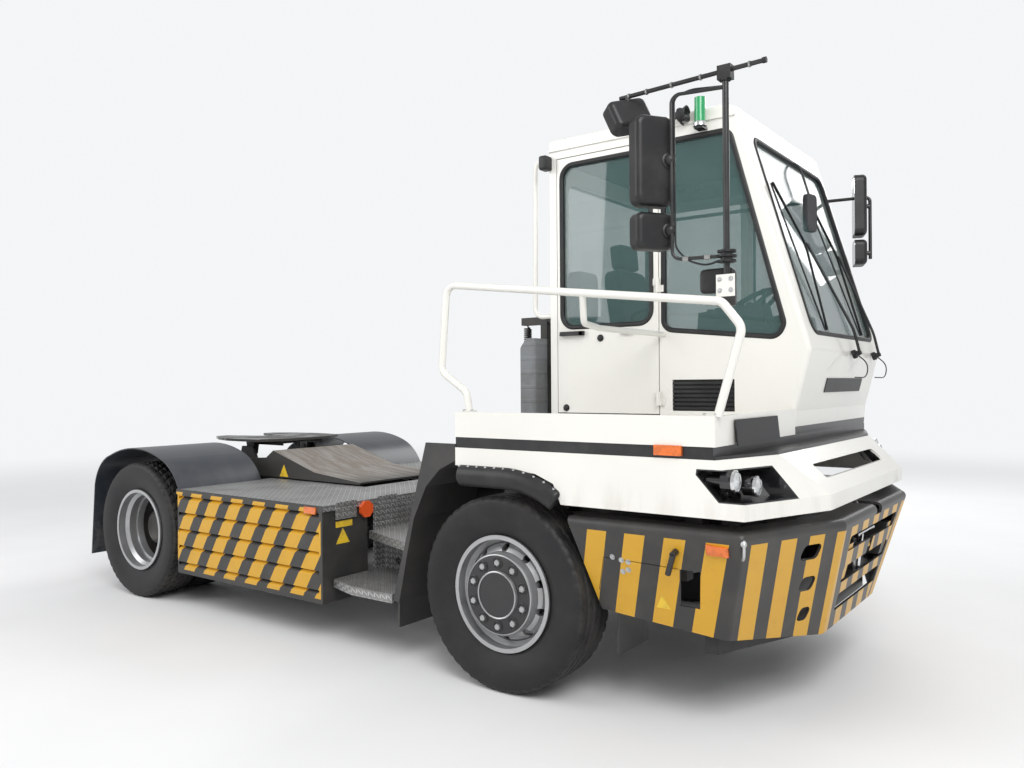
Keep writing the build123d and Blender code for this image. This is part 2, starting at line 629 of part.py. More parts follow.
def arch_flare():
    """Smooth black sausage along the steered wheel's arch, flat where it lies on the skirt."""
    y = -HALF_WIDTH
    rear, bend, foot = (ahead(-240), y, 1096), (ahead(60), y, 1096), (ahead(372), y, 1000)
    path = (Curve() + [Line(rear, bend), TangentArc(bend, foot, tangent=(1, 0, 0))]).wires()[0]
    low, high = (0, -FLARE_HALF), (0, FLARE_HALF)
    section = make_face(Curve() + [ThreePointArc(low, (FLARE_OUT, 0), high), Line(high, low)])
    flare = sweep(Plane(origin=rear, z_dir=path % 0, x_dir=(0, -1, 0)) * section, path=path)
    ends = [flare.faces().sort_by(Axis.X)[0], flare.faces().sort_by(Axis.Z)[0]]
    rims = [edge for face in ends for edge in face.edges().filter_by(GeomType.CIRCLE)]
    return fillet(rims, 22)


def splash_guard():
    """Guard behind the steered wheel: side plate, curved sheet and rubber flap."""
    edge = [(-260, 1258), (-260, 1170), (-372, 1118), (-470, 1020), (-560, 840), (-612, 640),
            (-650, 470), (-676, 366)]
    back = [(-722, 366), (-469, 1258)]
    side = side_prism([(ahead(x), z) for x, z in edge + back], -HALF_WIDTH, -HALF_WIDTH + 12)
    sheet_back = [(x - 12, z) for x, z in edge[1:]]
    sheet = side_prism([(ahead(x), z) for x, z in edge[1:] + sheet_back[::-1]],
                       -HALF_WIDTH + 12, -760)
    flap = block((ahead(-688), ahead(-676)), (-HALF_WIDTH + 5, -800), (225, 372))
    return side + sheet, flap


def front_flaps():
    """Rubber flaps ahead of the steered wheels, each on a bar from its rail."""
    x, z = ahead(617), RAIL_BOTTOM + 14
    return [block((x - 5, x + 5), (side * 800, side * 1090), (270, z))
            + rod((x, side * RAIL_OUTER_Y, z), (x, side * 1090, z), 9) for side in (-1, 1)]


def body():
    """Skirt, belt, walkway, flares and splash guards."""
    save("front_bumper", front_bumper() + tow_shelves())
    save("tow_pin", tow_pin())
    save("lower_body", lower_body())
    save("belt_frame", belt())
    save("walkway", walkway())
    save("arch_flares", arch_flare(), other_side(arch_flare()))
    guard, flap = splash_guard()
    save("splash_guards", guard, other_side(guard), flap, other_side(flap), *front_flaps())


# Cab
CAB_PROFILE = [(CAB_REAR, BELT_TOP), (CAB_FRONT_LOW, BELT_TOP), (CAB_FRONT_LOW + 11, TRAY_TOP - 10),
               (CAB_FRONT_MID, CAB_MID_Z - 60), (CAB_FRONT_MID - CAB_FRONT_BOW, CAB_MID_Z),
               (CAB_FRONT_HIGH, GUTTER_Z), (CAB_REAR, GUTTER_Z)]


def pane(corners, radius, y0, y1):
    """Solid through the pane's outline from y0 to y1."""
    outline = make_face(Polyline(*corners, close=True))
    outline = fillet(outline.vertices(), radius)
    return Pos(0, y0, 0) * extrude(Plane.XZ * outline, amount=-(y1 - y0))


def shrunk(corners, gap):
    """The same corners moved towards their middle line by about the gap."""
    middle_x = sum(x for x, _ in corners) / len(corners)
    middle_z = sum(z for _, z in corners) / len(corners)
    return [(x + (gap if x < middle_x else -gap), z + (gap if z < middle_z else -gap))
            for x, z in corners]


PANE_TOP = DOOR_TOP - 47
QUARTER_TOP = GUTTER_Z - 75
FRONT_PILLAR = 78           # cab front back to the quarter pane's sloping edge
DOOR_PANE = [(DOOR_REAR + 34, SILL_Z), (DOOR_FRONT - 47, SILL_Z), (DOOR_FRONT - 47, PANE_TOP),
             (DOOR_REAR + 34, PANE_TOP)]


def slope_x(z):
    """X of the cab's sloping front at a height."""
    share = (z - CAB_MID_Z) / (GUTTER_Z - CAB_MID_Z)
    return CAB_FRONT_MID - CAB_FRONT_BOW + share * (CAB_FRONT_HIGH - CAB_FRONT_MID + CAB_FRONT_BOW)


QUARTER_PANE = [(DOOR_FRONT + 37, QUARTER_TOP), (DOOR_FRONT + 33, SILL_Z - 42),
                (slope_x(CAB_MID_Z) - 158, CAB_MID_Z + 12),
                (slope_x(SILL_Z - 42) - FRONT_PILLAR - 24, SILL_Z - 42),
                (slope_x(QUARTER_TOP) - FRONT_PILLAR, QUARTER_TOP)]
DOOR_OPENING = [(DOOR_REAR - DOOR_GAP, DOOR_BOTTOM - DOOR_GAP),
                (DOOR_FRONT + DOOR_GAP, DOOR_BOTTOM - DOOR_GAP),
                (DOOR_FRONT + DOOR_GAP, DOOR_TOP + DOOR_GAP),
                (DOOR_REAR - DOOR_GAP, DOOR_TOP + DOOR_GAP)]
SIDES = {"right": (CAB_RIGHT, 1), "left": (CAB_LEFT, -1)}
VENT_X = (ahead(480), ahead(850))
VENT_Z = (1410, 1588)
VENT_DEPTH = 25


def slope_plane(y):
    """Plane on the cab's sloping front, its origin at the foot of the slope."""
    low = Vector(CAB_FRONT_MID - CAB_FRONT_BOW, y, CAB_MID_Z)
    high = Vector(CAB_FRONT_HIGH, y, GUTTER_Z)
    up = (high - low).normalized()
    return Plane(origin=low, x_dir=Vector(0, 1, 0), z_dir=Vector(0, 1, 0).cross(up)), (high - low).length


def windscreen_solid(gap, depth0, depth1):
    """Solid through the windscreen's outline, between two depths behind the slope."""
    plane, length = slope_plane(0)
    y0, y1 = CAB_RIGHT + 125 + gap, CAB_LEFT - 75 - gap
    outline = make_face(Polyline((y0, 40 + gap), (y1, 40 + gap), (y1, length - 108 - gap),
                                 (y0, length - 108 - gap), close=True))
    outline = fillet(outline.vertices(), 70 - gap)
    plate = Pos(0, 0, -depth1) * extrude(outline, amount=depth1 - depth0)
    return plane * plate


REAR_PANE = [(CAB_RIGHT + 150, SILL_Z + 58), (CAB_LEFT - 150, SILL_Z + 58),
             (CAB_LEFT - 150, GUTTER_Z - 170), (CAB_RIGHT + 150, GUTTER_Z - 170)]


def rear_pane(gap, x0, x1):
    """Solid through the rear window's outline."""
    corners = shrunk(REAR_PANE, gap)
    outline = fillet(make_face(Polyline(*corners, close=True)).vertices(), 80 - gap)
    return Pos(x0, 0, 0) * extrude(Plane.YZ * outline, amount=x1 - x0)


CAB_BEND = 26               # radius of the edges beside the cab's front


def cab_solid():
    """The cab's outside as one solid, its front corners rounded."""
    solid = side_prism(CAB_PROFILE, CAB_RIGHT, CAB_LEFT)
    waist = [edge for edge in solid.edges().filter_by(Axis.Y)
             if edge.center().X > CAB_FRONT_MID - CAB_FRONT_BOW - 1]
    solid = fillet(waist, 60)
    beside = [edge for edge in solid.edges() if abs(edge.tangent_at(0.5).Y) < 0.01
              and edge.center().X > CAB_FRONT_HIGH - 40
              and BELT_TOP + 1 < edge.center().Z < GUTTER_Z - 1]
    return fillet(beside, CAB_BEND)


def cab_walls():
    """Walls and floor of the cab, with the windows, the doors' openings and the vent cut."""
    shell = cab_solid()
    low, high = BELT_TOP + CAB_FLOOR, GUTTER_Z + 1
    slope = (CAB_FRONT_HIGH - CAB_FRONT_MID + CAB_FRONT_BOW) / (GUTTER_Z - CAB_MID_Z)
    room = [(CAB_REAR + CAB_WALL, low), (CAB_FRONT_LOW - CAB_WALL, low),
            (CAB_FRONT_LOW - CAB_WALL + 11, TRAY_TOP - 10),
            (CAB_FRONT_MID - CAB_WALL, CAB_MID_Z - 60),
            (CAB_FRONT_MID - CAB_FRONT_BOW - CAB_WALL, CAB_MID_Z),
            (CAB_FRONT_HIGH - CAB_WALL + slope, high), (CAB_REAR + CAB_WALL, high)]
    shell -= side_prism(room, CAB_RIGHT + CAB_WALL, CAB_LEFT - CAB_WALL)
    for y, inward in SIDES.values():
        ends = (y - inward, y + inward * (CAB_WALL + 1))
        shell -= side_prism(DOOR_OPENING, *ends)
        shell -= pane(QUARTER_PANE, 60, *ends)
    shell -= windscreen_solid(0, -1, CAB_WALL + 30)
    shell -= rear_pane(0, CAB_REAR - 1, CAB_REAR + CAB_WALL + 1)
    shell -= block(VENT_X, (CAB_RIGHT - 1, CAB_RIGHT + VENT_DEPTH), VENT_Z)
    return shell


def cab_panels():
    """The cab's floor, side, rear and front panels, cut from its walls where they meet."""
    walls = cab_walls()
    floor_top = BELT_TOP + CAB_FLOOR
    inner_right, inner_left = CAB_RIGHT + CAB_WALL, CAB_LEFT - CAB_WALL
    inner_rear = CAB_REAR + CAB_WALL
    whole_x, whole_z = (CAB_REAR - 1, CAB_FRONT_MID + 99), (floor_top, GUTTER_Z + 1)
    cuts = {
        "cab_floor": block(whole_x, (CAB_RIGHT - 1, CAB_LEFT + 1), (BELT_TOP - 1, floor_top)),
        "cab_side_right": block(whole_x, (CAB_RIGHT - 1, inner_right), whole_z),
        "cab_side_left": block(whole_x, (inner_left, CAB_LEFT + 1), whole_z),
        "cab_rear_wall": block((CAB_REAR - 1, inner_rear), (inner_right, inner_left), whole_z),
        "cab_front": block((inner_rear, CAB_FRONT_MID + 99), (inner_right, inner_left), whole_z),
    }
    panels = {node: walls & cut for node, cut in cuts.items()}
    for name in SIDES:
        panels["cab_side_" + name] += hinge_halves(name, 0)
    return panels


HINGE_HEIGHTS = (1480, 2135, 2790)
HINGE_HALF = 40


def hinge_halves(name, half):
    """Hinge knuckles beside a door: half 0 on the cab, half 1 on the door."""
    y, inward = SIDES[name]
    pin_x, pin_y = DOOR_FRONT + DOOR_GAP / 2, y - inward * HINGE_OUT
    pieces = []
    for height in HINGE_HEIGHTS:
        z0 = height - HINGE_HALF if half == 0 else height + RUNNING_GAP
        z1 = height if half == 0 else height + HINGE_HALF
        barrel = rod((pin_x, pin_y, z0), (pin_x, pin_y, z1), HINGE_RADIUS)
        reach = 34 if half == 0 else -34
        leaf = block((pin_x, pin_x + reach), (y - inward * 8, y), (z0, z1))
        if half == 0:
            leaf = block((DOOR_FRONT + DOOR_GAP, pin_x + reach), (y - inward * 8, y), (z0, z1))
            foot = block((pin_x, pin_x + reach / 2), (pin_y - inward * 4, y - inward * 6), (z0, z1))
        else:
            leaf = block((pin_x + reach, DOOR_FRONT), (y - inward * 8, y), (z0, z1))
            foot = block((pin_x + reach / 2, pin_x), (pin_y - inward * 4, y - inward * 6), (z0, z1))
        pieces += [barrel, leaf, foot]
    return pieces


def door(name):
    """Door leaf as thick as the wall, with its window cut, hinge halves and handle."""
    y, inward = SIDES[name]
    corners = shrunk(DOOR_OPENING, DOOR_GAP)
    leaf = side_prism(corners, y, y + inward * CAB_WALL)
    leaf -= pane(DOOR_PANE, 80, y - inward, y + inward * (CAB_WALL + 1))
    handle = block((ahead(-268), ahead(-108)), (y - inward * 28, y - inward * 12), (1868, 1890))
    posts = [block((ahead(x), ahead(x + 22)), (y - inward * 14, y), (1868, 1890))
             for x in (-268, -130)]
    return leaf + hinge_halves(name, 1) + handle + posts


def glazing():
    """Panes, each a thin plate seated in its opening."""
    mid = CAB_WALL / 2
    for name, (y, inward) in SIDES.items():
        y0, y1 = y + inward * (mid - GLASS_THICKNESS), y + inward * mid
        save("door_glass_" + name, pane(shrunk(DOOR_PANE, RUNNING_GAP), 80 - RUNNING_GAP, y0, y1))
    quarters = [pane(shrunk(QUARTER_PANE, RUNNING_GAP), 60 - RUNNING_GAP,
                     y + inward * (mid - GLASS_THICKNESS), y + inward * mid)
                for y, inward in SIDES.values()]
    save("cab_glass", *quarters, windscreen_solid(RUNNING_GAP, 14, 14 + GLASS_THICKNESS),
         rear_pane(RUNNING_GAP, CAB_REAR + 20, CAB_REAR + 20 + GLASS_THICKNESS))


ROOF_BEND = 24


def roof():
    """Cap over the walls, with a gutter edge and slightly sloping sides."""
    rise = ROOF_TOP - GUTTER_Z
    slope = (CAB_FRONT_HIGH - CAB_FRONT_MID + CAB_FRONT_BOW) / (GUTTER_Z - CAB_MID_Z)
    front = CAB_FRONT_HIGH
    profile = [(CAB_REAR, GUTTER_Z), (front, GUTTER_Z), (front + slope * rise * 0.6, GUTTER_Z + rise * 0.6),
               (front + slope * rise - 60, ROOF_TOP), (CAB_REAR, ROOF_TOP)]
    cap = side_prism(profile, CAB_RIGHT, CAB_LEFT)
    crest = [edge for edge in cap.edges() if edge.center().Z > GUTTER_Z + 1
             and edge.center().X > CAB_REAR + 1]
    cap = fillet(crest, ROOF_BEND)
    gutter = block((CAB_REAR - 6, front - 20), (CAB_RIGHT - 10, CAB_LEFT + 10),
                   (GUTTER_Z, GUTTER_Z + 14))
    room = block((CAB_REAR + CAB_WALL, front - CAB_WALL - 20),
                 (CAB_RIGHT + CAB_WALL, CAB_LEFT - CAB_WALL), (GUTTER_Z - 1, GUTTER_Z + 30))
    return cap + gutter - room


def interior():
    """Seat, dashboard and steering column."""
    floor = BELT_TOP + CAB_FLOOR
    middle = (CAB_RIGHT + CAB_LEFT) / 2
    pedestal = block((ahead(-150), ahead(230)), (middle - 190, middle + 190), (floor, floor + 260))
    cushion = block((ahead(-190), ahead(300)), (middle - 250, middle + 250),
                    (floor + 260, floor + 390))
    back = side_prism([(ahead(-190), floor + 390), (ahead(-75), floor + 390),
                       (ahead(-170), floor + 1000), (ahead(-260), floor + 1000)],
                      middle - 235, middle + 235)
    head = side_prism([(ahead(-250), floor + 1000), (ahead(-180), floor + 1000),
                       (ahead(-195), floor + 1190), (ahead(-265), floor + 1190)],
                      middle - 130, middle + 130)
    save("seat", pedestal + cushion + back + head)
    front = CAB_FRONT_LOW - CAB_WALL
    dash = side_prism([(front - 320, floor + 380), (front - 60, floor), (front, floor),
                       (front + 8, floor + 120), (front + 50, floor + 400),
                       (front - 250, floor + 480)],
                      CAB_RIGHT + CAB_WALL, CAB_LEFT - CAB_WALL)
    console = block((ahead(-150), ahead(700)), (middle + 290, CAB_LEFT - CAB_WALL), (floor, floor + 330))
    return dash, console


STEERING_CENTRE = (ahead(640), (CAB_RIGHT + CAB_LEFT) / 2, 2020)
STEERING_AXIS = Vector(-0.55, 0, 0.835)
STEERING_RADIUS = 220


def steering():
    """Steering wheel on its column, square to the column."""
    centre = Vector(*STEERING_CENTRE)
    axis = STEERING_AXIS.normalized()
    plane = Plane(origin=centre, x_dir=Vector(0, 1, 0), z_dir=axis)
    ring = Torus(STEERING_RADIUS, 15)
    spokes = [Rot(0, 0, turn) * block((30, STEERING_RADIUS), (-14, 14), (-9, 9))
              for turn in (0, 180, 270)]
    wheel = plane * (ring + Cylinder(45, 34) + spokes)
    foot = centre - axis * 350
    column = rod(tuple(foot), tuple(centre - axis * (17 + RUNNING_GAP)), 30)
    return wheel, column


FIN_PITCH = 24


def vent_grille():
    """Flat fins on a backing plate, in their recess low in the cab's right side."""
    back = block(VENT_X, (CAB_RIGHT + VENT_DEPTH - 6, CAB_RIGHT + VENT_DEPTH), VENT_Z)
    fin_x = (VENT_X[0] + 2, VENT_X[1] - 2)
    fins = [block(fin_x, (CAB_RIGHT + 2, CAB_RIGHT + VENT_DEPTH - 5), (z, z + 14))
            for z in range(VENT_Z[0] + 8, VENT_Z[1] - 14, FIN_PITCH)]
    return Part() + fins + back


def cab():
    """Shell, roof, doors, glass and what stands inside."""
    for node, panel in cab_panels().items():
        save(node, panel)
    save("cab_roof", roof())
    for name in SIDES:
        save("door_" + name, door(name))
    glazing()
    dash, console = interior()
    wheel, column = steering()
    save("steering_wheel", wheel)
    save("dashboard", dash + column, console)
    save("vent_grille", vent_grille())


# Rails, mirrors and lamps on the cab
RAIL_TUBE = 19
HANDRAIL_Y = 30 - HALF_WIDTH


def handrail():
    """Tube loop over the walkway's side, with the cross rail to the cab."""
    y = HANDRAIL_Y
    loop = tube([(ahead(-185), y, TRAY_TOP), (ahead(-205), y, 1530), (ahead(-376), y, 1640),
                 (ahead(-335), y, 2100), (ahead(1200), y, 1915), (ahead(1290), y, 1800),
                 (ahead(1180), y, TRAY_TOP)], 60, RAIL_TUBE)
    feet = [Pos(ahead(x), y, TRAY_TOP + 4) * Box(70, 34, 8) for x in (-185, 1150)]
    cross = tube([(ahead(510), y, 1995), (ahead(480), y + 60, 1860), (ahead(425), y + 300, 1850),
                  (ahead(425), CAB_RIGHT - RUNNING_GAP, 1850)], 40, 16)
    return loop, cross, feet


def grab_handle():
    """Upright tube behind the cab's right corner."""
    y = CAB_RIGHT + 25
    high, low = GUTTER_Z - 30, SILL_Z + 76
    return tube([(CAB_REAR, y, high), (CAB_REAR - 125, y, high), (CAB_REAR - 135, y, low),
                 (CAB_REAR, y, low)], 60, 15)


MIRROR_POST_X = ahead(1210)


def mirror_head(width, height, depth, turn, tilt, centre):
    """Rounded mirror housing, turned about the upright and tipped."""
    shape = Box(depth, width, height)
    shape = fillet(shape.edges().filter_by(Axis.X), min(width, height) * 0.22)
    shape = fillet(shape.faces().sort_by(Axis.X)[-1].edges(), depth * 0.35)
    return Pos(*centre) * Rot(0, tilt, turn) * shape


HEAD_WIDTH = 190
HEAD_DEPTH = 75
HEAD_TURNS = {"right": -34, "left": 20}
HEAD_HEIGHTS = {"right": ((2550, 400), (2240, 165)),
                "left": ((GUTTER_Z - 300, 400), (GUTTER_Z - 610, 165))}
LOOP_TUBE = 8


def head_reach(turn):
    """How far a turned head reaches sideways from its middle."""
    angle = radians(abs(turn))
    return HEAD_WIDTH / 2 * cos(angle) + HEAD_DEPTH / 2 * sin(angle)


def head_place(name):
    """Middle of a side's mirror heads in plan, so that their outer edge is at the reach."""
    side = -1 if name == "right" else 1
    x = ahead(893) if name == "right" else ahead(1150)
    return x, side * (MIRROR_REACH - head_reach(HEAD_TURNS[name]))


def mirror_arm(name, offset, height):
    """Stub from a head's back to the tube that carries it; returns the stub and its foot."""
    x, y = head_place(name)
    angle = radians(HEAD_TURNS[name])
    back = Vector(cos(angle), sin(angle), 0)
    along = Vector(-sin(angle), cos(angle), 0)
    start = Vector(x, y, height) + back * (HEAD_DEPTH / 2 + RUNNING_GAP) + along * offset
    foot = start + back * 26
    return rod(tuple(start), tuple(foot), 15), foot


def mirrors():
    """Post and arms on the right, arms on the left, and the mirror heads."""
    y = HANDRAIL_Y
    x = MIRROR_POST_X
    post_y = y + RAIL_TUBE + RUNNING_GAP + 16
    plate = block((x - 42, x + 42), (y + RAIL_TUBE + RUNNING_GAP, post_y), (1895, 2030))
    post = rod((x, post_y, 1940), (x, post_y, 2900), 14)
    top_arm = rod((ahead(1385), post_y, 2905), (ahead(700), post_y, 2885), 10)
    top_block = block((x - 30, x + 30), (post_y - 22, post_y + 22), (2860, 2920))
    stubs = []
    for height, _ in HEAD_HEIGHTS["right"]:
        stub, foot = mirror_arm("right", 60, height)
        stubs.append(stub)
    loop = tube([(x, post_y, 2830), (foot.X, foot.Y, 2830), (foot.X, foot.Y, 2110), (x, post_y, 2110)],
                40, LOOP_TUBE)
    clamp = rod((x, post_y, 2085), (x, post_y, 2135), 26)
    top_head = (ahead(740), post_y + 8, 2800)
    top_stub = rod((ahead(740), post_y, 2886), (ahead(740), post_y, 2855), 12)
    right_frame = Part() + [plate, post, top_arm, top_block, loop, clamp, top_stub] + stubs
    heads = [mirror_head(200, 150, 80, HEAD_TURNS["right"], -25, top_head)]
    for name in SIDES:
        heads += [mirror_head(HEAD_WIDTH, height, HEAD_DEPTH, HEAD_TURNS[name], 0,
                              (*head_place(name), z)) for z, height in HEAD_HEIGHTS[name]]
    left_stubs = []
    for z, _ in HEAD_HEIGHTS["left"]:
        stub, foot = mirror_arm("left", 0, z)
        left_stubs.append(stub)
    root_z = GUTTER_Z - 240
    root = (CAB_FRONT_HIGH + 40, CAB_LEFT - 30, root_z)
    arm = tube([root, (foot.X, foot.Y, root_z), (foot.X, foot.Y, root_z - 410)], 30, 11)
    left_frame = Part() + [arm] + left_stubs
    left_frame = left_frame - cab_solid() - heads
    save("mirror_frames", right_frame - heads, left_frame)
    save("mirror_heads", *heads)


def lamps():
    """Beacon on its foot beside the cab, and the two rear lamp blocks."""
    x, y, foot_z = ahead(680), CAB_RIGHT - 45, GUTTER_Z - 40
    beacon = rod((x, y, foot_z), (x, y, ROOF_TOP + 42), 30)
    foot = block((x - 25, x + 25), (y - 25, CAB_RIGHT), (foot_z - 14, foot_z))
    rear = [block((REAR_AXLE_X - REAR_REACH, REAR_AXLE_X - REAR_REACH + 60),
                  (side * 700, side * 1100), (700, 800)) for side in (-1, 1)]
    marker = extrude(Plane.YZ * RegularPolygon(MARKER_RADIUS, 8, rotation=22.5), amount=22)
    markers = [Pos(DECK_FRONT, side * MARKER_Y, 790) * marker for side in (-1, 1)]
    save("lamps", beacon + foot, *rear, *markers, headlamp(-1), headlamp(1))


def rear_carrier():
    """Plate across the rails' ends that carries the lamps."""
    return block((behind(-740), behind(-640)), (-1120, 1120), (660, 806))


PORTAL_TOP = 1000
STAND_TOP = 2010            # top of the stand that carries the air lines
LINE_Y = -35
COIL_X = -650
COIL_OUTER = 30             # outer radius of the curly air line
COIL_FOOT = 1700
PIPE_RADIUS = 9
PIPE_Y = (-48, -22)


def air_pipes(x):
    """Two pipes down the stand's front to the portal, held at both ends."""
    top, foot = STAND_TOP - 20, PORTAL_TOP - 2
    return [tube([(x - 4, y, top), (x + 45, y, top - 30), (x + 60, y, 1400), (x + 20, y + 90, 1150),
                  (x + 12, y + 90, foot)], 40, PIPE_RADIUS) for y in PIPE_Y]


def air_line():
    """Outer shape of the curly air line that hangs between the stand's two arms."""
    height = STAND_TOP - 50 - COIL_FOOT
    foot = Pos(ahead(COIL_X), LINE_Y, COIL_FOOT)
    return foot * Cylinder(COIL_OUTER, height, align=(Align.CENTER, Align.CENTER, Align.MIN))


def behind_cab():
    """Portal over the gearbox with the intake tower and the coupling pole on it."""
    x0, x1 = ahead(-560), ahead(-440)
    beam = block((x0, x1), (-RAIL_OUTER_Y, RAIL_OUTER_Y), (PORTAL_TOP - 50, PORTAL_TOP))
    legs = [block((x0, x1), (side * 365, side * RAIL_OUTER_Y), (RAIL_TOP, PORTAL_TOP - 50))
            for side in (-1, 1)]
    right, left = LINE_Y - 25, LINE_Y + 25
    pole = block((x0 + 30, x0 + 80), (right, left), (PORTAL_TOP, STAND_TOP))
    arms = [block((ahead(COIL_X - 35), x0 + 80), (right, left), (z, z + 50))
            for z in (STAND_TOP - 50, COIL_FOOT - 50)]
    shelf = block((x0 + 20, x0 + 90), (left, 330), (1600, 1700))
    save("intake_tower", tower(x0, x1))
    save("hose_carrier", beam + legs + pole + arms + shelf + air_pipes(x0 + 80))
    save("air_line", air_line())


def tower(x0, x1):
    """Moulded intake tower with rounded upright edges and a sloping head."""
    body = block((x0, x1), (-262, -102), (PORTAL_TOP, 1860))
    body = fillet(body.edges().filter_by(Axis.Z), 22)
    head = side_prism([(x0 - 1, 1790), (x0 - 1, 1861), (x0 + 60, 1861)], -263, -101)
    return body - head


def cab_mounts():
    """Four posts from the rails up to the belt frame and the skirt's top."""
    posts = []
    for x0, x1, top in ((ahead(-255), ahead(-205), BELT_BOTTOM),
                        (ahead(905), ahead(965), BELT_BOTTOM - BODY_WALL)):
        for side in (-1, 1):
            posts.append(block((x0, x1), (side * 365, side * RAIL_OUTER_Y), (RAIL_TOP, top)))
    return posts


def fittings():
    """Handrail, grab handle, mirrors, lamps and what stands behind the cab."""
    loop, cross, feet = handrail()
    save("handrails", Part() + [loop, cross] + feet, grab_handle())
    mirrors()
    lamps()
    behind_cab()
    save("cab_mounts", *cab_mounts())


# Deck and rear
DECK_FRONT = ahead(-1300)
DECK_REAR = behind(545)
SLOT_FRONT = LIFT_PIVOT_X + 150
SLOT_HALF = 432
LIP_SPANS = ((986, 1154), (631, 806))   # y of the upright lips on the deck's front
LIP_WALL = 6
MARKER_Y = 910
MARKER_RADIUS = 54


def deck():
    """Chequered deck plates beside the lifting frame, joined ahead of it."""
    z0 = DECK_TOP - DECK_THICKNESS
    plate = block((DECK_REAR, DECK_FRONT), (-HALF_WIDTH, HALF_WIDTH), (z0, DECK_TOP))
    slot = block((DECK_REAR - 1, SLOT_FRONT), (-SLOT_HALF, SLOT_HALF), (z0 - 1, DECK_TOP + 1))
    lips = [block((DECK_FRONT, DECK_FRONT + LIP_WALL), (side * y0, side * y1), (752, DECK_TOP + 12))
            for y0, y1 in LIP_SPANS for side in (-1, 1)]
    return plate - slot + lips


BOX_BOTTOM = 255
BOX_INNER_Y = 880
RIB_COUNT = 5


def side_box():
    """Box under the deck with a corrugated outer panel and plain end plates."""
    z1 = DECK_TOP - DECK_THICKNESS
    x0, x1 = DECK_REAR + 15, DECK_FRONT - 10
    pitch = (z1 - BOX_BOTTOM) / RIB_COUNT
    face, rib = HALF_WIDTH - 28, HALF_WIDTH
    profile = [(-BOX_INNER_Y, BOX_BOTTOM), (-face, BOX_BOTTOM)]
    for index in range(RIB_COUNT):
        foot = BOX_BOTTOM + index * pitch
        profile += [(-face, foot + pitch * 0.28), (-rib, foot + pitch * 0.40),
                    (-rib, foot + pitch * 0.60), (-face, foot + pitch * 0.72)]
    profile += [(-face, z1), (-BOX_INNER_Y, z1)]
    return front_prism(profile, x0, x1)


STEP_LIP = 50
STEP_WALL = 5
UPPER_STEP = [(-1290, -RAIL_OUTER_Y), (-800, -RAIL_OUTER_Y), (-800, -1040), (-830, -1049), (-1290, -885)]
LOWER_STEP = [(-1290, -450), (-730, -450), (-730, -1250), (-1061, -1250), (-1290, -1180)]


def tray(points, top):
    """Step plate with a lip folded down all round."""
    outline = make_face(Polyline(*[(ahead(x), y) for x, y in points], close=True))
    inside = offset(outline, -STEP_WALL)
    plate = Pos(0, 0, top - STEP_LIP) * extrude(outline, amount=STEP_LIP)
    return plate - Pos(0, 0, top - STEP_LIP - 1) * extrude(inside, amount=STEP_LIP + 1 - STEP_WALL)


def steps():
    """Two folded steps up to the deck behind the steered wheel, on a hanger and risers."""
    hanger = block((ahead(-1290), ahead(-1278)), (-850, -450), (360, DECK_TOP - DECK_THICKNESS))
    hanger += block((ahead(-1290), ahead(-1278)), (-450, -RAIL_OUTER_Y), (600, DECK_TOP - DECK_THICKNESS))
    riser = block((ahead(-1278), ahead(-760)), (-770, -764), (395, 605))
    riser -= [rod((ahead(x), -790, 455), (ahead(x), -740, 455), 22) for x in (-1150, -900)]
    return tray(UPPER_STEP, 650) + tray(LOWER_STEP, 400) + hanger + riser


def mudguard():
    """Sheet over the twin wheels, with a flap down its rear."""
    wall = 8
    foot = DECK_TOP + RUNNING_GAP - AXLE_Z

    def line(offset):
        crown = 612 - offset
        return [
            ThreePointArc((575 - offset, foot), (500 - offset * 0.8, 452 - offset * 0.5),
                          (360 - offset * 0.4, 545 - offset)),
            ThreePointArc((360 - offset * 0.4, 545 - offset), (0, crown),
                          (-360 + offset * 0.4, 545 - offset)),
            ThreePointArc((-360 + offset * 0.4, 545 - offset), (-530 + offset * 0.8, 440 - offset * 0.5),
                          (-600 + offset, 300)),
            Line((-600 + offset, 300), (-655 + offset, -250)),
        ]
    outer, inner = line(0), line(wall)
    ends = [Line((575, foot), (575 - wall, foot)), Line((-655, -250), (-655 + wall, -250))]
    outline = make_face(Curve() + outer + inner + ends)
    sheet = extrude(Plane.XZ * outline, amount=HALF_WIDTH - 553)
    return Pos(REAR_AXLE_X, -553, AXLE_Z) * sheet


HOOD_REAR = behind(550)
HOOD_CREST_Z = 1060
HOOD_HALF = 420
SKIRT_WALL = 12
SKIRT_BOTTOM = DECK_TOP + 8


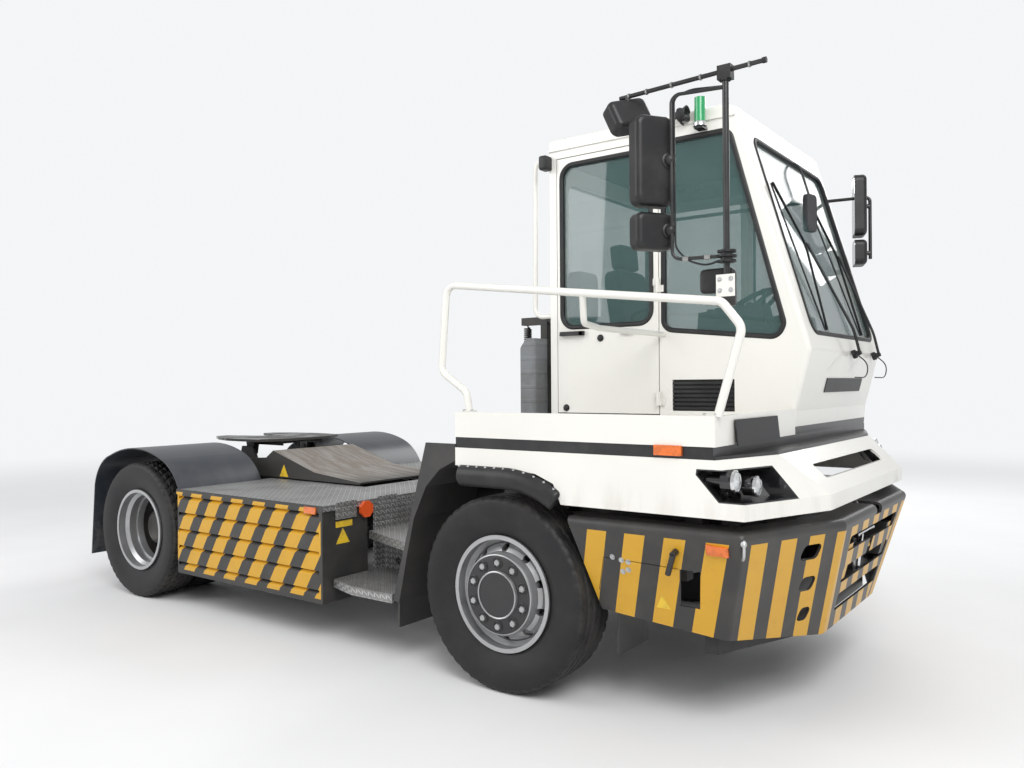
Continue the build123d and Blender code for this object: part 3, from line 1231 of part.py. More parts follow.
def lift_frame():
    """Lifting frame: two beams from the pivot, the ramped hood, and the trunnion brackets."""
    eye_x, eye_z = CYLINDER_EYE
    pivot_front = LIFT_PIVOT_X + 70
    beam = [(pivot_front, LIFT_PIVOT_Z - 60), (pivot_front, LIFT_PIVOT_Z + 75),
            (HOOD_REAR - 40, 900), (FIFTH_WHEEL_X + 150, 900),
            (FIFTH_WHEEL_X + 70, TRUNNION_Z + 32), (FIFTH_WHEEL_X - 70, TRUNNION_Z + 32),
            (FIFTH_WHEEL_X - 130, 860), (FIFTH_WHEEL_X - 130, 770), (eye_x, 735)]
    beams = Part() + [side_prism(beam, side * (BEAM_OUTER_Y - BEAM_WALL), side * BEAM_OUTER_Y)
                      for side in (-1, 1)]
    inner = BEAM_OUTER_Y - BEAM_WALL
    ties = [rod((eye_x, -inner, eye_z), (eye_x, inner, eye_z), 22),
            block((FIFTH_WHEEL_X - 125, FIFTH_WHEEL_X - 60), (-inner, inner), (790, 850)),
            block((LIFT_PIVOT_X - 260, LIFT_PIVOT_X - 180), (-inner, inner), (690, 760))]
    surface = [(HOOD_REAR, HOOD_CREST_Z), (HOOD_REAR + 490, 914), (LIFT_PIVOT_X + 80, 868)]
    under = [(x, z - SKIRT_WALL) for x, z in reversed(surface)]
    plate = side_prism(surface + under, -HOOD_HALF, HOOD_HALF)
    skirt = surface + [(LIFT_PIVOT_X + 80, SKIRT_BOTTOM), (FIFTH_WHEEL_X + 60, SKIRT_BOTTOM),
                       (FIFTH_WHEEL_X + 60, 985), (HOOD_REAR - 90, 1000)]
    skirts = [side_prism(skirt, side * (HOOD_HALF - SKIRT_WALL), side * HOOD_HALF) for side in (-1, 1)]
    webs = [side_prism([(HOOD_REAR + 30, 860), (HOOD_REAR + 30, 1045), (HOOD_REAR + 420, 928),
                        (HOOD_REAR + 420, 820)],
                       side * (BEAM_OUTER_Y - BEAM_WALL), side * BEAM_OUTER_Y) for side in (-1, 1)]
    bulkhead = block((HOOD_REAR + 20, HOOD_REAR + 32), (-HOOD_HALF, HOOD_HALF), (870, 1045))
    frame = beams + ties + plate + skirts + webs + bulkhead
    frame -= rod((LIFT_PIVOT_X, -500, LIFT_PIVOT_Z), (LIFT_PIVOT_X, 500, LIFT_PIVOT_Z),
                 LIFT_PIN_RADIUS + RUNNING_GAP)
    pins = [rod((FIFTH_WHEEL_X, side * (inner - 62), TRUNNION_Z),
                (FIFTH_WHEEL_X, side * inner, TRUNNION_Z), 20) for side in (-1, 1)]
    return frame + pins


PLATE_HALF_WIDTH = 450
PLATE_THICKNESS = 20


def fifth_wheel():
    """Coupling plate with its rear throat, kingpin bore, skirt and trunnion lugs."""
    x = FIFTH_WHEEL_X
    front, rear = 380, -480
    right = [(front, 0), (front, -230), (260, -PLATE_HALF_WIDTH + 30), (60, -PLATE_HALF_WIDTH),
             (-120, -PLATE_HALF_WIDTH), (-300, -400), (rear, -300), (rear, -190), (-90, -40)]
    left = [(px, -py) for px, py in reversed(right[1:])]
    outline = [(x + px, py) for px, py in right + left]
    top = plan_prism(outline, FIFTH_WHEEL_TOP - PLATE_THICKNESS, FIFTH_WHEEL_TOP)
    ribs = [block((x - 90, x + 300), (side * 200, side * 216), (1080, FIFTH_WHEEL_TOP - 1))
            for side in (-1, 1)]
    jaw = block((x - 85, x + 90), (-110, 110), (FIFTH_WHEEL_TOP - 62, FIFTH_WHEEL_TOP - 1))
    inner = BEAM_OUTER_Y - BEAM_WALL
    lugs = [side_prism([(x - 60, FIFTH_WHEEL_TOP - 5), (x + 60, FIFTH_WHEEL_TOP - 5),
                        (x + 34, TRUNNION_Z - 34), (x - 34, TRUNNION_Z - 34)],
                       side * (inner - 56), side * (inner - 6)) for side in (-1, 1)]
    ribs += [block((x - 20, x + 20), (side * 100, side * 260), (1080, FIFTH_WHEEL_TOP - 1))
             for side in (-1, 1)]
    wheel = top + ribs + jaw + lugs
    wheel -= Pos(x, 0, FIFTH_WHEEL_TOP) * Cylinder(KINGPIN_BORE, 400)
    for side in (-1, 1):
        wheel -= rod((x, side * 200, TRUNNION_Z), (x, side * 330, TRUNNION_Z), 20 + RUNNING_GAP)
    return wheel


BARREL_RADIUS = 52
ROD_RADIUS = 28
EYE_CLEARANCE = 8
EYE_PIN = 22


def lift_cylinders():
    """Two lift cylinders: barrels on the foot pin, rods up to the frame's pin."""
    foot, eye = Vector(CYLINDER_FOOT[0], 0, CYLINDER_FOOT[1]), Vector(CYLINDER_EYE[0], 0, CYLINDER_EYE[1])
    line = eye - foot
    along = line.normalized()
    barrels, rods = [], []
    for side in (-1, 1):
        offset = Vector(0, side * CYLINDER_Y, 0)
        start = foot + offset
        body_start, body_end = start + along * 45, start + along * (line.length - 70)
        barrel = rod(tuple(body_start), tuple(body_end), BARREL_RADIUS)
        boss = rod(tuple(start - Vector(0, 40, 0)), tuple(start + Vector(0, 40, 0)), 44)
        barrel = barrel + rod(tuple(start), tuple(body_start + along * 5), 40) + boss
        barrel -= rod(tuple(start - Vector(0, 60, 0)), tuple(start + Vector(0, 60, 0)),
                      25 + RUNNING_GAP)
        barrel -= rod(tuple(start + along * 90), tuple(body_end + along * 5), ROD_RADIUS + RUNNING_GAP)
        barrels.append(barrel)
        top = start + line
        ram = rod(tuple(start + along * 92), tuple(top - along * 10), ROD_RADIUS)
        ram += rod(tuple(top - Vector(0, 38, 0)), tuple(top + Vector(0, 38, 0)),
                   EYE_PIN + EYE_CLEARANCE + 14)
        ram -= rod(tuple(top - Vector(0, 60, 0)), tuple(top + Vector(0, 60, 0)),
                   EYE_PIN + EYE_CLEARANCE)
        rods.append(ram)
    return barrels, rods


def lift_travel():
    """How far the cylinders swing and stretch over the lift, for the moving links' ratios."""
    turn = radians(LIFT_DEGREES)
    dx, dz = CYLINDER_EYE[0] - LIFT_PIVOT_X, CYLINDER_EYE[1] - LIFT_PIVOT_Z
    raised = (LIFT_PIVOT_X + dx * cos(turn) + dz * sin(turn),
              LIFT_PIVOT_Z - dx * sin(turn) + dz * cos(turn))
    def link(end):
        return end[0] - CYLINDER_FOOT[0], end[1] - CYLINDER_FOOT[1]
    (x0, z0), (x1, z1) = link(CYLINDER_EYE), link(raised)
    swing = degrees(atan2(z0, x0) - atan2(z1, x1))
    return swing, hypot(x1, z1) - hypot(x0, z0)


def rear():
    """Deck, side boxes, steps, mudguards, lifting frame, fifth wheel and cylinders."""
    save("deck_plate", deck())
    save("side_boxes", side_box(), other_side(side_box()))
    save("steps", steps(), other_side(steps()))
    save("rear_mudguards", mudguard(), other_side(mudguard()))
    save("lift_frame", lift_frame())
    save("fifth_wheel", fifth_wheel())
    barrels, rods = lift_cylinders()
    save("lift_barrels", *barrels)
    save("lift_rods", *rods)
    print("cylinder swing and stroke", lift_travel())


wheels()
chassis()
body()
cab()
fittings()
rear()
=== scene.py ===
# %% [markdown]
# A terminal tractor, dressed around its packed construction model.
# The construction model gives every piece its real place and size. Here each surface gets its
# finish, and what is too fine for the construction model is added: tyre tread, window seals,
# wipers, mirror glass, lamps, bolts and hoses. New pieces are worked out with numpy as grids.

# %% Load the construction model
import math

import bmesh
import bpy
import numpy as np
from mathutils import Matrix, Vector


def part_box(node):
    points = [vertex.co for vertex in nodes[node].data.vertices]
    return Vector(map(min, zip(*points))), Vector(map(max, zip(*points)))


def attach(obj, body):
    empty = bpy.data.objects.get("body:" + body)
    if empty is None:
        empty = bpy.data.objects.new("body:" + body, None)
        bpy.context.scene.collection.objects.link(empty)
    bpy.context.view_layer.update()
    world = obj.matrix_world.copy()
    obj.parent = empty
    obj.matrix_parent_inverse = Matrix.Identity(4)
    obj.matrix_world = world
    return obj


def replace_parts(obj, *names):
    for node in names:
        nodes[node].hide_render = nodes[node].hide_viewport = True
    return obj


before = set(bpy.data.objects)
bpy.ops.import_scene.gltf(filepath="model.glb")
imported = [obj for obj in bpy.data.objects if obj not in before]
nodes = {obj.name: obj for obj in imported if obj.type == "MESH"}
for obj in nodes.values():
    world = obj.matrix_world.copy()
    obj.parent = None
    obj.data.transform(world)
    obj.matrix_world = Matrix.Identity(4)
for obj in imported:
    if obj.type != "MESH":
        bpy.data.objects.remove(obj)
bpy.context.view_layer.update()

FRONT_AXLE_X = float(sum(p.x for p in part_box("front_tyre_right")) / 2)
REAR_AXLE_X = float(sum(p.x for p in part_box("rear_tyres_right")) / 2)
AXLE_Z = float(sum(p.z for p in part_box("front_tyre_right")) / 2)
TYRE_RADIUS = AXLE_Z
HALF_WIDTH = 1.25
print("axles at", round(FRONT_AXLE_X, 4), round(REAR_AXLE_X, 4))


def ahead(distance):
    """X of a place so many metres ahead of the front axle."""
    return FRONT_AXLE_X + distance


def behind(distance):
    """X of a place so many metres ahead of the rear axle, or behind it when negative."""
    return REAR_AXLE_X + distance


# %% [markdown]
# The camera stands ahead of the front axle on the vehicle's right, about 1.6 m above the ground,
# and looks across the front corner. Its yaw, pitch and roll turn a camera that starts out looking
# along +Y. The lens is a moderate wide angle on a full-frame sensor.

# %% Camera
CAMERA_PLACE = (ahead(2.5931), -4.5984, 1.5692)
CAMERA_YAW, CAMERA_PITCH, CAMERA_ROLL = 0.63736, 0.00021, -0.00743
CAMERA_LENS = 29.407

camera = bpy.data.objects.new("Camera", bpy.data.cameras.new("Camera"))
camera.data.sensor_width = 36
camera.data.lens = CAMERA_LENS
camera.data.clip_end = 100
camera.matrix_world = (
    Matrix.Translation(CAMERA_PLACE)
    @ Matrix.Rotation(CAMERA_YAW, 4, "Z")
    @ Matrix.Rotation(math.pi / 2 + CAMERA_PITCH, 4, "X")
    @ Matrix.Rotation(CAMERA_ROLL, 4, "Z")
)
bpy.context.scene.collection.objects.link(camera)
bpy.context.scene.camera = camera

# %% [markdown]
# The stage is a pale floor under an even sky. Three large soft lamps stand for the bright parts
# of an overcast sky: one over the vehicle's front right corner, one on the far side and one
# behind, so that folds and rims get an edge of light. The backdrop is the world itself, which
# shows white to the camera and through glass, and lights the vehicle at a lower level.

# %% Floor, sky and lamps
FLOOR_SIZE = 60
SKY_LIGHT = 0.62
SKY_SEEN = 0.93


def area_lamp(name, place, target, size, power):
    """A square lamp that faces its target."""
    data = bpy.data.lights.new(name, "AREA")
    data.shape, data.size, data.energy = "SQUARE", size, power
    lamp = bpy.data.objects.new(name, data)
    direction = Vector(target) - Vector(place)
    lamp.matrix_world = Matrix.Translation(place) @ direction.to_track_quat("-Z", "Y").to_matrix().to_4x4()
    bpy.context.scene.collection.objects.link(lamp)


area_lamp("Key", (6.5, -6.0, 7.5), (0.5, 0, 1.0), 5.0, 620)
area_lamp("Fill", (-6.0, -7.0, 5.5), (-1.0, 0, 0.8), 6.0, 330)
area_lamp("Far", (1.0, 8.5, 7.0), (0, 0, 1.5), 6.0, 420)

world = bpy.data.worlds.new("Sky")
bpy.context.scene.world = world
world.use_nodes = True
world_tree = world.node_tree
world_tree.nodes.clear()
output = world_tree.nodes.new("ShaderNodeOutputWorld")
background = world_tree.nodes.new("ShaderNodeBackground")
rays = world_tree.nodes.new("ShaderNodeLightPath")
seen = world_tree.nodes.new("ShaderNodeMath")
seen.operation = "MAXIMUM"
strength = world_tree.nodes.new("ShaderNodeMapRange")
strength.inputs["To Min"].default_value = SKY_LIGHT
strength.inputs["To Max"].default_value = SKY_SEEN
world_tree.links.new(rays.outputs["Is Camera Ray"], seen.inputs[0])
world_tree.links.new(rays.outputs["Is Transmission Ray"], seen.inputs[1])
world_tree.links.new(seen.outputs[0], strength.inputs["Value"])
world_tree.links.new(strength.outputs[0], background.inputs["Strength"])
background.inputs["Color"].default_value = (0.97, 0.985, 1.0, 1)
world_tree.links.new(background.outputs[0], output.inputs["Surface"])
bpy.context.scene.view_settings.view_transform = "Standard"

# %% [markdown]
# Shader maths reads best as plain formulas. The small class below wraps one output of a node, and
# each operator on it adds a Math node, so that 1 - mask * 0.5 works as it is written. Wrap counts
# from the last multiple of a period, size drops the sign, and most takes the larger value. Any
# other node comes from Finish.node, which gives the node its settings first and then its sockets.


# %% Shader formulas
class Wire:
    """One output socket that understands + - * / and comparisons."""

    def __init__(self, finish, socket):
        self.finish, self.socket = finish, socket

    def ramp(self, start, end, low=0.0, high=1.0):
        """A smooth rise from low at start to high at end, level beyond both."""
        return self.finish.node("MapRange", {"interpolation_type": "SMOOTHSTEP"},
                                {"Value": self, "From Min": start, "From Max": end,
                                 "To Min": low, "To Max": high})


def maths(operation, swapped=False):
    """A method that adds one Math node over this value and any others."""
    def method(self, *others):
        values = (*others, self) if swapped else (self, *others)
        return self.finish.node("Math", {"operation": operation}, dict(enumerate(values)))
    return method


OPERATIONS = {"__add__": "ADD", "__sub__": "SUBTRACT", "__mul__": "MULTIPLY", "__truediv__": "DIVIDE",
              "__gt__": "GREATER_THAN", "__lt__": "LESS_THAN", "wrap": "FLOORED_MODULO",
              "size": "ABSOLUTE", "sine": "SINE", "most": "MAXIMUM", "root": "SQRT", "sign": "SIGN"}
for method_name, operation in OPERATIONS.items():
    setattr(Wire, method_name, maths(operation))
for method_name in ("__add__", "__sub__", "__mul__"):
    setattr(Wire, method_name.replace("__", "__r", 1), maths(OPERATIONS[method_name], swapped=True))


class Finish:
    """A material whose surface is one Principled shader, with its node tree."""

    def __init__(self, name, **constants):
        self.material = bpy.data.materials.new(name)
        self.material.use_nodes = True
        self.tree = self.material.node_tree
        self.shader = self.tree.nodes["Principled BSDF"]
        for socket, value in constants.items():
            self.shader.inputs[socket.replace("_", " ")].default_value = value
        self.place = self.node("TexCoord", output="Object")
        parts = self.node("SeparateXYZ", {}, {0: self.place})
        self.x, self.y, self.z = (Wire(self, parts.socket.node.outputs[axis]) for axis in "XYZ")

    def node(self, kind, settings=None, inputs=None, output=0):
        made = self.tree.nodes.new("ShaderNode" + kind)
        for setting, value in (settings or {}).items():
            setattr(made, setting, value)
        for socket, value in (inputs or {}).items():
            if isinstance(value, Wire):
                self.tree.links.new(value.socket, made.inputs[socket])
            else:
                made.inputs[socket].default_value = value
        return Wire(self, made.outputs[output])

    def vector(self, x, y, z):
        return self.node("CombineXYZ", {}, {0: x, 1: y, 2: z})

    def noise(self, scale, detail=3.0, roughness=0.55, at=None):
        """Cloudy values about 0.5, scale to the metre."""
        return self.node("TexNoise", {}, {"Vector": at or self.place, "Scale": scale, "Detail": detail,
                                          "Roughness": roughness}, "Fac")

    def speckle(self, scale, at=None):
        """Distance to the nearest of many scattered points, in units of their spacing."""
        return self.node("TexVoronoi", {}, {"Vector": at or self.place, "Scale": scale}, "Distance")

    def blend(self, share, first, second):
        """Colour that goes from the first to the second as the share goes from 0 to 1."""
        mix = self.tree.nodes.new("ShaderNodeMix")
        mix.data_type = "RGBA"
        for socket, value in ((mix.inputs[0], share), (mix.inputs[6], first), (mix.inputs[7], second)):
            if isinstance(value, Wire):
                self.tree.links.new(value.socket, socket)
            else:
                socket.default_value = value if isinstance(value, float) else (*value[:3], 1)
        return Wire(self, mix.outputs[2])

    def set(self, **sockets):
        for name, value in sockets.items():
            socket = self.shader.inputs[name.replace("_", " ")]
            if isinstance(value, Wire):
                self.tree.links.new(value.socket, socket)
            else:
                socket.default_value = value if isinstance(value, float) else (*value[:3], 1)
        return self

    def bump(self, height, depth, strength=1.0):
        """Surface relief of the given depth in metres."""
        relief = self.node("Bump", {}, {"Height": height, "Distance": depth, "Strength": strength})
        self.tree.links.new(relief.socket, self.shader.inputs["Normal"])
        return self


FINISHES = {}


def finish(function):
    """Keeps the material that a function makes under the function's name."""
    FINISHES[function.__name__] = function().material
    print("finish", function.__name__)
    return function


# %% [markdown]
# The cab and skirts are enamelled sheet steel in a warm white. Fresh paint is even, so the colour
# varies by only a few hundredths, with road film rising from the lower edges. A clear coat gives
# the tight highlight, and a very shallow ripple keeps long reflections from being ruler straight.

# %% White cab paint
WARM_WHITE = (0.80, 0.785, 0.735)
ROAD_FILM = (0.46, 0.43, 0.38)


@finish
def cab_paint():
    paint = Finish("cab_paint", Coat_Roughness=0.06, Coat_IOR=1.5)
    cloud = paint.noise(1.3, 4)
    streaks = paint.noise(9, 5, 0.65, at=paint.vector(paint.x, paint.y, paint.z * 0.18))
    film = paint.z.ramp(1.16, 0.98) * streaks.ramp(0.42, 0.72) * 0.35
    film = film + streaks.ramp(0.58, 0.80) * 0.05
    clean = paint.blend(cloud.ramp(0.35, 0.65), WARM_WHITE, (0.77, 0.755, 0.705))
    paint.set(Base_Color=paint.blend(film, clean, ROAD_FILM),
              Roughness=film.ramp(0, 0.4, 0.30, 0.62), Coat_Weight=film.ramp(0, 0.3, 0.6, 0.1))
    return paint.bump(paint.noise(60, 2), 0.0004, 0.06)


# %% [markdown]
# The warning stripes are yellow film on dark grey plates. On the corrugated side boxes they lean,
# at one even pitch. On the folded bumper each face has its own run of stripes, parallel to the
# fold beside it, so the distance along the face is worked out from where the face lies. Film has
# a crisp edge and a little wear, and the plate under it is a satin dark grey.

# %% Striped plates
STRIPE_YELLOW = (0.62, 0.335, 0.018)
PLATE_GREY = (0.030, 0.029, 0.028)
BOX_PITCH, BOX_STRIPE, BOX_LEAN = 0.2305, 0.124, 0.612
BOX_STRIPE_START = -2.678
BOX_STRIPE_TOP, BOX_STRIPE_FOOT = 0.826, 0.284
BUMPER_TOP, BUMPER_FOOT = 0.94, 0.358
STRIPE_TOP = 0.888
SIDE_PITCH, SIDE_STRIPE, SIDE_LEAN, SIDE_START = 0.197, 0.103, 0.289, 0.541
CORNER_PITCH, CORNER_STRIPE, CORNER_LEAN, CORNER_START = 0.187, 0.101, -0.19, 0.053
NOSE_PITCH, NOSE_STRIPE, NOSE_LEAN, NOSE_START = 0.21, 0.112, -0.36, -0.507
SIDE_FOLD = (1.307, 1.25, 1.172, 1.104, 0.441)
NOSE_FOLD = (1.545, 0.65, 1.385, 0.48, 0.358)


def worn_plate(paint, stripes):
    """Dark satin plate with yellow film where stripes is 1, both a little scuffed and dusty."""
    scuff = paint.noise(38, 6, 0.75).ramp(0.64, 0.72)
    dust = paint.noise(5, 5, 0.6).ramp(0.4, 0.75) * 0.25
    grey = paint.blend(dust, PLATE_GREY, (0.10, 0.092, 0.08))
    yellow = paint.blend(paint.noise(11, 5, 0.7).ramp(0.45, 0.75) * 0.4, STRIPE_YELLOW,
                         (0.50, 0.27, 0.02))
    film = (1 - scuff * 0.35) * stripes
    paint.set(Base_Color=paint.blend(film, grey, yellow), Roughness=film.ramp(0, 1, 0.46, 0.38))
    return paint.bump(paint.noise(160, 3) * 0.4 + stripes * 0.35, 0.0006, 0.25)


def leaning_stripes(along, height, start, pitch, width, lean, top):
    """1 on the stripes: each leans by `lean` for each metre down from the top."""
    return ((along + (top - height) * lean - start).wrap(pitch) < width)


@finish
def grey_paint():
    paint = Finish("grey_paint", Coat_Weight=0.15, Coat_Roughness=0.25)
    return worn_plate(paint, 0.0)


@finish
def box_stripes():
    paint = Finish("box_stripes", Coat_Weight=0.15, Coat_Roughness=0.25)
    x = paint.x - FRONT_AXLE_X
    lean = leaning_stripes(x, paint.z, BOX_STRIPE_START, BOX_PITCH, BOX_STRIPE, BOX_LEAN, 0.805)
    inside = (paint.z < BOX_STRIPE_TOP) * (paint.z > BOX_STRIPE_FOOT)
    outer = paint.y.size() > HALF_WIDTH - 0.04
    ends = (x > -2.852) * (x < -1.325)
    return worn_plate(paint, lean * inside * outer * ends)


@finish
def bumper_stripes():
    paint = Finish("bumper_stripes", Coat_Weight=0.15, Coat_Roughness=0.25)
    x, y, z = paint.x - FRONT_AXLE_X, paint.y.size(), paint.z
    down = (BUMPER_TOP - z) / (BUMPER_TOP - BUMPER_FOOT)
    fold_top_x, fold_top_y, fold_low_x, fold_low_y, fold_low_z = SIDE_FOLD
    share = (BUMPER_TOP - z) / (BUMPER_TOP - fold_low_z)
    side_fold_x = fold_top_x + share * (fold_low_x - fold_top_x)
    nose_fold_y = NOSE_FOLD[1] + down * (NOSE_FOLD[3] - NOSE_FOLD[1])
    run_x, run_y = NOSE_FOLD[0] - fold_top_x, fold_top_y - NOSE_FOLD[1]
    run = math.hypot(run_x, run_y)
    along = (x - fold_top_x) * (run_x / run) + (fold_top_y - y) * (run_y / run)
    side = leaning_stripes(x, z, SIDE_START, SIDE_PITCH, SIDE_STRIPE, SIDE_LEAN, STRIPE_TOP)
    corner = leaning_stripes(along, z, CORNER_START, CORNER_PITCH, CORNER_STRIPE, CORNER_LEAN, STRIPE_TOP)
    nose = leaning_stripes(paint.y, z, NOSE_START, NOSE_PITCH, NOSE_STRIPE, NOSE_LEAN, STRIPE_TOP)
    to_left_fold = nose_fold_y - paint.y
    nose = nose * (to_left_fold > 0.13)
    nose = nose.most((to_left_fold < 0.095) * (paint.y > 0))
    on_side = x < side_fold_x
    on_nose = y < nose_fold_y
    film = on_side * side + (1 - on_side) * ((1 - on_nose) * corner + on_nose * nose)
    facing_out = paint.node("NewGeometry", output="Normal")
    parts = paint.node("SeparateXYZ", {}, {0: facing_out}).socket.node.outputs
    sideways = Wire(paint, parts["Y"]) * paint.y.sign()
    outward_face = on_side * (sideways > 0.6) + (1 - on_side) * (Wire(paint, parts["X"]) > 0.5)
    return worn_plate(paint, film * (z < STRIPE_TOP) * outward_face)


# %% [markdown]
# The other painted and bare metals: satin black, the matt frame paint with its dust, the worn
# brownish ramp whose paint is rubbed off where trailers slide, silver wheels whose drum and hub
# plate are dark, bare and chromed steel, and the greasy plate that couples to the trailer.

# %% Painted and bare metal


def dusty(finish_in, colour, dust, amount, rough, low=0.0, high=0.0):
    """A colour under blotchy dust; with low and high, more of it towards the ground."""
    cloud = finish_in.noise(6, 5, 0.65).ramp(0.38, 0.72) * amount
    if high > low:
        cloud = cloud.most(finish_in.z.ramp(high, low) * finish_in.noise(18, 5, 0.7).ramp(0.3, 0.7) * 0.6)
    finish_in.set(Base_Color=finish_in.blend(cloud, colour, dust), Roughness=cloud.ramp(0, 1, rough, 0.85))
    return finish_in


@finish
def black_paint():
    paint = dusty(Finish("black_paint", Coat_Weight=0.2, Coat_Roughness=0.2), (0.012, 0.012, 0.013),
                  (0.10, 0.095, 0.085), 0.18, 0.34)
    return paint.bump(paint.noise(220, 2), 0.0003, 0.12)


@finish
def chassis_paint():
    paint = dusty(Finish("chassis_paint"), (0.022, 0.022, 0.023), (0.105, 0.095, 0.08), 0.55, 0.55, 0.2, 0.9)
    return paint.bump(paint.noise(90, 4), 0.0008, 0.2)


@finish
def ramp_paint():
    paint = Finish("ramp_paint")
    top = paint.z.ramp(0.855, 0.90)
    scrape = paint.noise(7, 6, 0.7, at=paint.vector(paint.x * 0.35, paint.y * 2.2, paint.z)).ramp(0.40, 0.62)
    worn = paint.blend(scrape, (0.215, 0.185, 0.155), (0.30, 0.275, 0.25))
    spots = paint.speckle(26).ramp(0.10, 0.05) * 0.5
    worn = paint.blend(spots, worn, (0.09, 0.075, 0.06))
    facing = paint.node("NewGeometry", output="Normal")
    up = Wire(paint, paint.node("SeparateXYZ", {}, {0: facing}).socket.node.outputs["Z"]).ramp(0.55, 0.85)
    paint.set(Base_Color=paint.blend(up * top, (0.040, 0.038, 0.036), worn),
              Roughness=scrape.ramp(0, 1, 0.55, 0.42), Metallic=up * top * 0.25)
    return paint.bump(paint.noise(70, 5, 0.7) + scrape * 0.3, 0.001, 0.25)


REAR_DRUM_RADIUS = 0.236


@finish
def rim_paint():
    paint = Finish("rim_paint", Metallic=0.75)
    across, up = paint.x - REAR_AXLE_X, paint.z - AXLE_Z
    drum = ((across * across + up * up).root() < REAR_DRUM_RADIUS)
    colour = paint.blend(drum, (0.46, 0.465, 0.47), (0.055, 0.052, 0.05))
    dusty(paint, colour, (0.19, 0.175, 0.15), 0.22, 0.34)
    return paint.bump(paint.noise(300, 3), 0.0002, 0.15)


@finish
def hub_paint():
    paint = dusty(Finish("hub_paint"), (0.060, 0.060, 0.062), (0.09, 0.085, 0.075), 0.3, 0.36)
    paint.set(Metallic=0.7)
    return paint.bump(paint.noise(260, 3), 0.0003, 0.2)


@finish
def bare_steel():
    steel = Finish("bare_steel", Metallic=1.0)
    rust = steel.noise(30, 6, 0.7).ramp(0.60, 0.75)
    steel.set(Base_Color=steel.blend(rust, (0.42, 0.42, 0.41), (0.16, 0.09, 0.05)),
              Roughness=rust.ramp(0, 1, 0.34, 0.8))
    return steel.bump(steel.noise(180, 3), 0.0003, 0.2)


@finish
def rod_chrome():
    chrome = Finish("rod_chrome", Metallic=1.0)
    haze = chrome.noise(25, 4)
    chrome.set(Base_Color=(0.74, 0.74, 0.75), Roughness=haze.ramp(0.3, 0.7, 0.08, 0.22))
    return chrome.bump(chrome.noise(400, 2), 0.0001, 0.05)


@finish
def greased_iron():
    iron = Finish("greased_iron", Coat_Roughness=0.3)
    smear = iron.noise(9, 5, 0.6, at=iron.vector(iron.x, iron.y * 0.4, iron.z))
    iron.set(Base_Color=iron.blend(smear.ramp(0.35, 0.65), (0.012, 0.011, 0.010), (0.055, 0.05, 0.045)),
             Roughness=smear.ramp(0.35, 0.65, 0.22, 0.55), Metallic=0.35,
             Coat_Weight=smear.ramp(0.6, 0.35, 0.1, 0.6))
    return iron.bump(iron.noise(45, 5, 0.6), 0.0015, 0.3)


# %% [markdown]
# Aluminium tread plate has short raised bars in two crossing directions. Both sets are written as
# stretched ellipses on a square lattice that is turned by 45 degrees. The bars catch the light on
# top and hold dirt between them, so one formula drives height, roughness and colour together.

# %% Tread plate
BAR_PITCH = 0.034


def raised_bars(metal, pitch):
    """1 on the bars: ellipses along one diagonal, and between them ellipses along the other."""
    u, v = (metal.x + metal.y + metal.z * 1.4) * (0.7071 / pitch), (metal.x - metal.y) * (0.7071 / pitch)

    def bars(along, across):
        reach, width = (along.wrap(1.0) - 0.5) / 0.40, (across.wrap(1.0) - 0.5) / 0.13
        return (reach * reach + width * width).ramp(1.0, 0.45)

    return bars(u, v).most(bars(v + 0.5, u + 0.5))


@finish
def tread_plate():
    metal = Finish("tread_plate")
    bars = raised_bars(metal, BAR_PITCH)
    grime = metal.noise(4, 6, 0.65).ramp(0.35, 0.75)
    scuffs = metal.noise(26, 5, 0.7).ramp(0.5, 0.7) * 0.3
    between = metal.blend(grime, (0.34, 0.34, 0.335), (0.20, 0.195, 0.185))
    metal.set(Base_Color=metal.blend(bars * (1 - scuffs), between, (0.60, 0.60, 0.60)),
              Metallic=0.8, Roughness=bars.ramp(0, 1, 0.52, 0.30))
    return metal.bump(bars, 0.0022, 0.8)


@finish
def galvanised():
    metal = Finish("galvanised", Metallic=0.85)
    spangle = metal.speckle(70)
    metal.set(Base_Color=metal.blend(spangle.ramp(0.1, 0.7), (0.44, 0.45, 0.455), (0.58, 0.585, 0.59)),
              Roughness=metal.noise(12, 4).ramp(0.3, 0.7, 0.34, 0.52))
    return metal.bump(metal.noise(150, 3), 0.0003, 0.15)


# %% [markdown]
# Tyre rubber is a dark grey rather than black, with pale dust on the shoulders and the tread. The
# sidewall carries fine moulded rings, worked out from the distance to the nearer axle. Window
# seals and hoses are the same family of rubber without the rings.

# %% Rubber


@finish
def tyre_rubber():
    rubber = Finish("tyre_rubber", Specular_IOR_Level=0.35)
    front = rubber.x > 0.0
    across = rubber.x - (front * FRONT_AXLE_X + (1 - front) * REAR_AXLE_X)
    up = rubber.z - AXLE_Z
    radius = (across * across + up * up).root()
    rings = (radius * 700).sine().ramp(-0.2, 0.9) * radius.ramp(0.335, 0.345) * radius.ramp(0.465, 0.455)
    tread = radius.ramp(0.482, 0.492)
    dust = rubber.noise(5, 5, 0.65).ramp(0.35, 0.75) * (tread * 0.5 + 0.16)
    rubber.set(Base_Color=rubber.blend(dust, (0.013, 0.013, 0.014), (0.075, 0.069, 0.062)),
               Roughness=dust.ramp(0, 0.6, 0.52, 0.85))
    return rubber.bump(rings * 0.5 + rubber.noise(220, 4, 0.7) * 0.5, 0.0007, 0.4)


@finish
def seal_rubber():
    rubber = dusty(Finish("seal_rubber", Specular_IOR_Level=0.4), (0.012, 0.012, 0.013),
                   (0.06, 0.058, 0.055), 0.25, 0.45)
    return rubber.bump(rubber.noise(320, 2), 0.0003, 0.15)


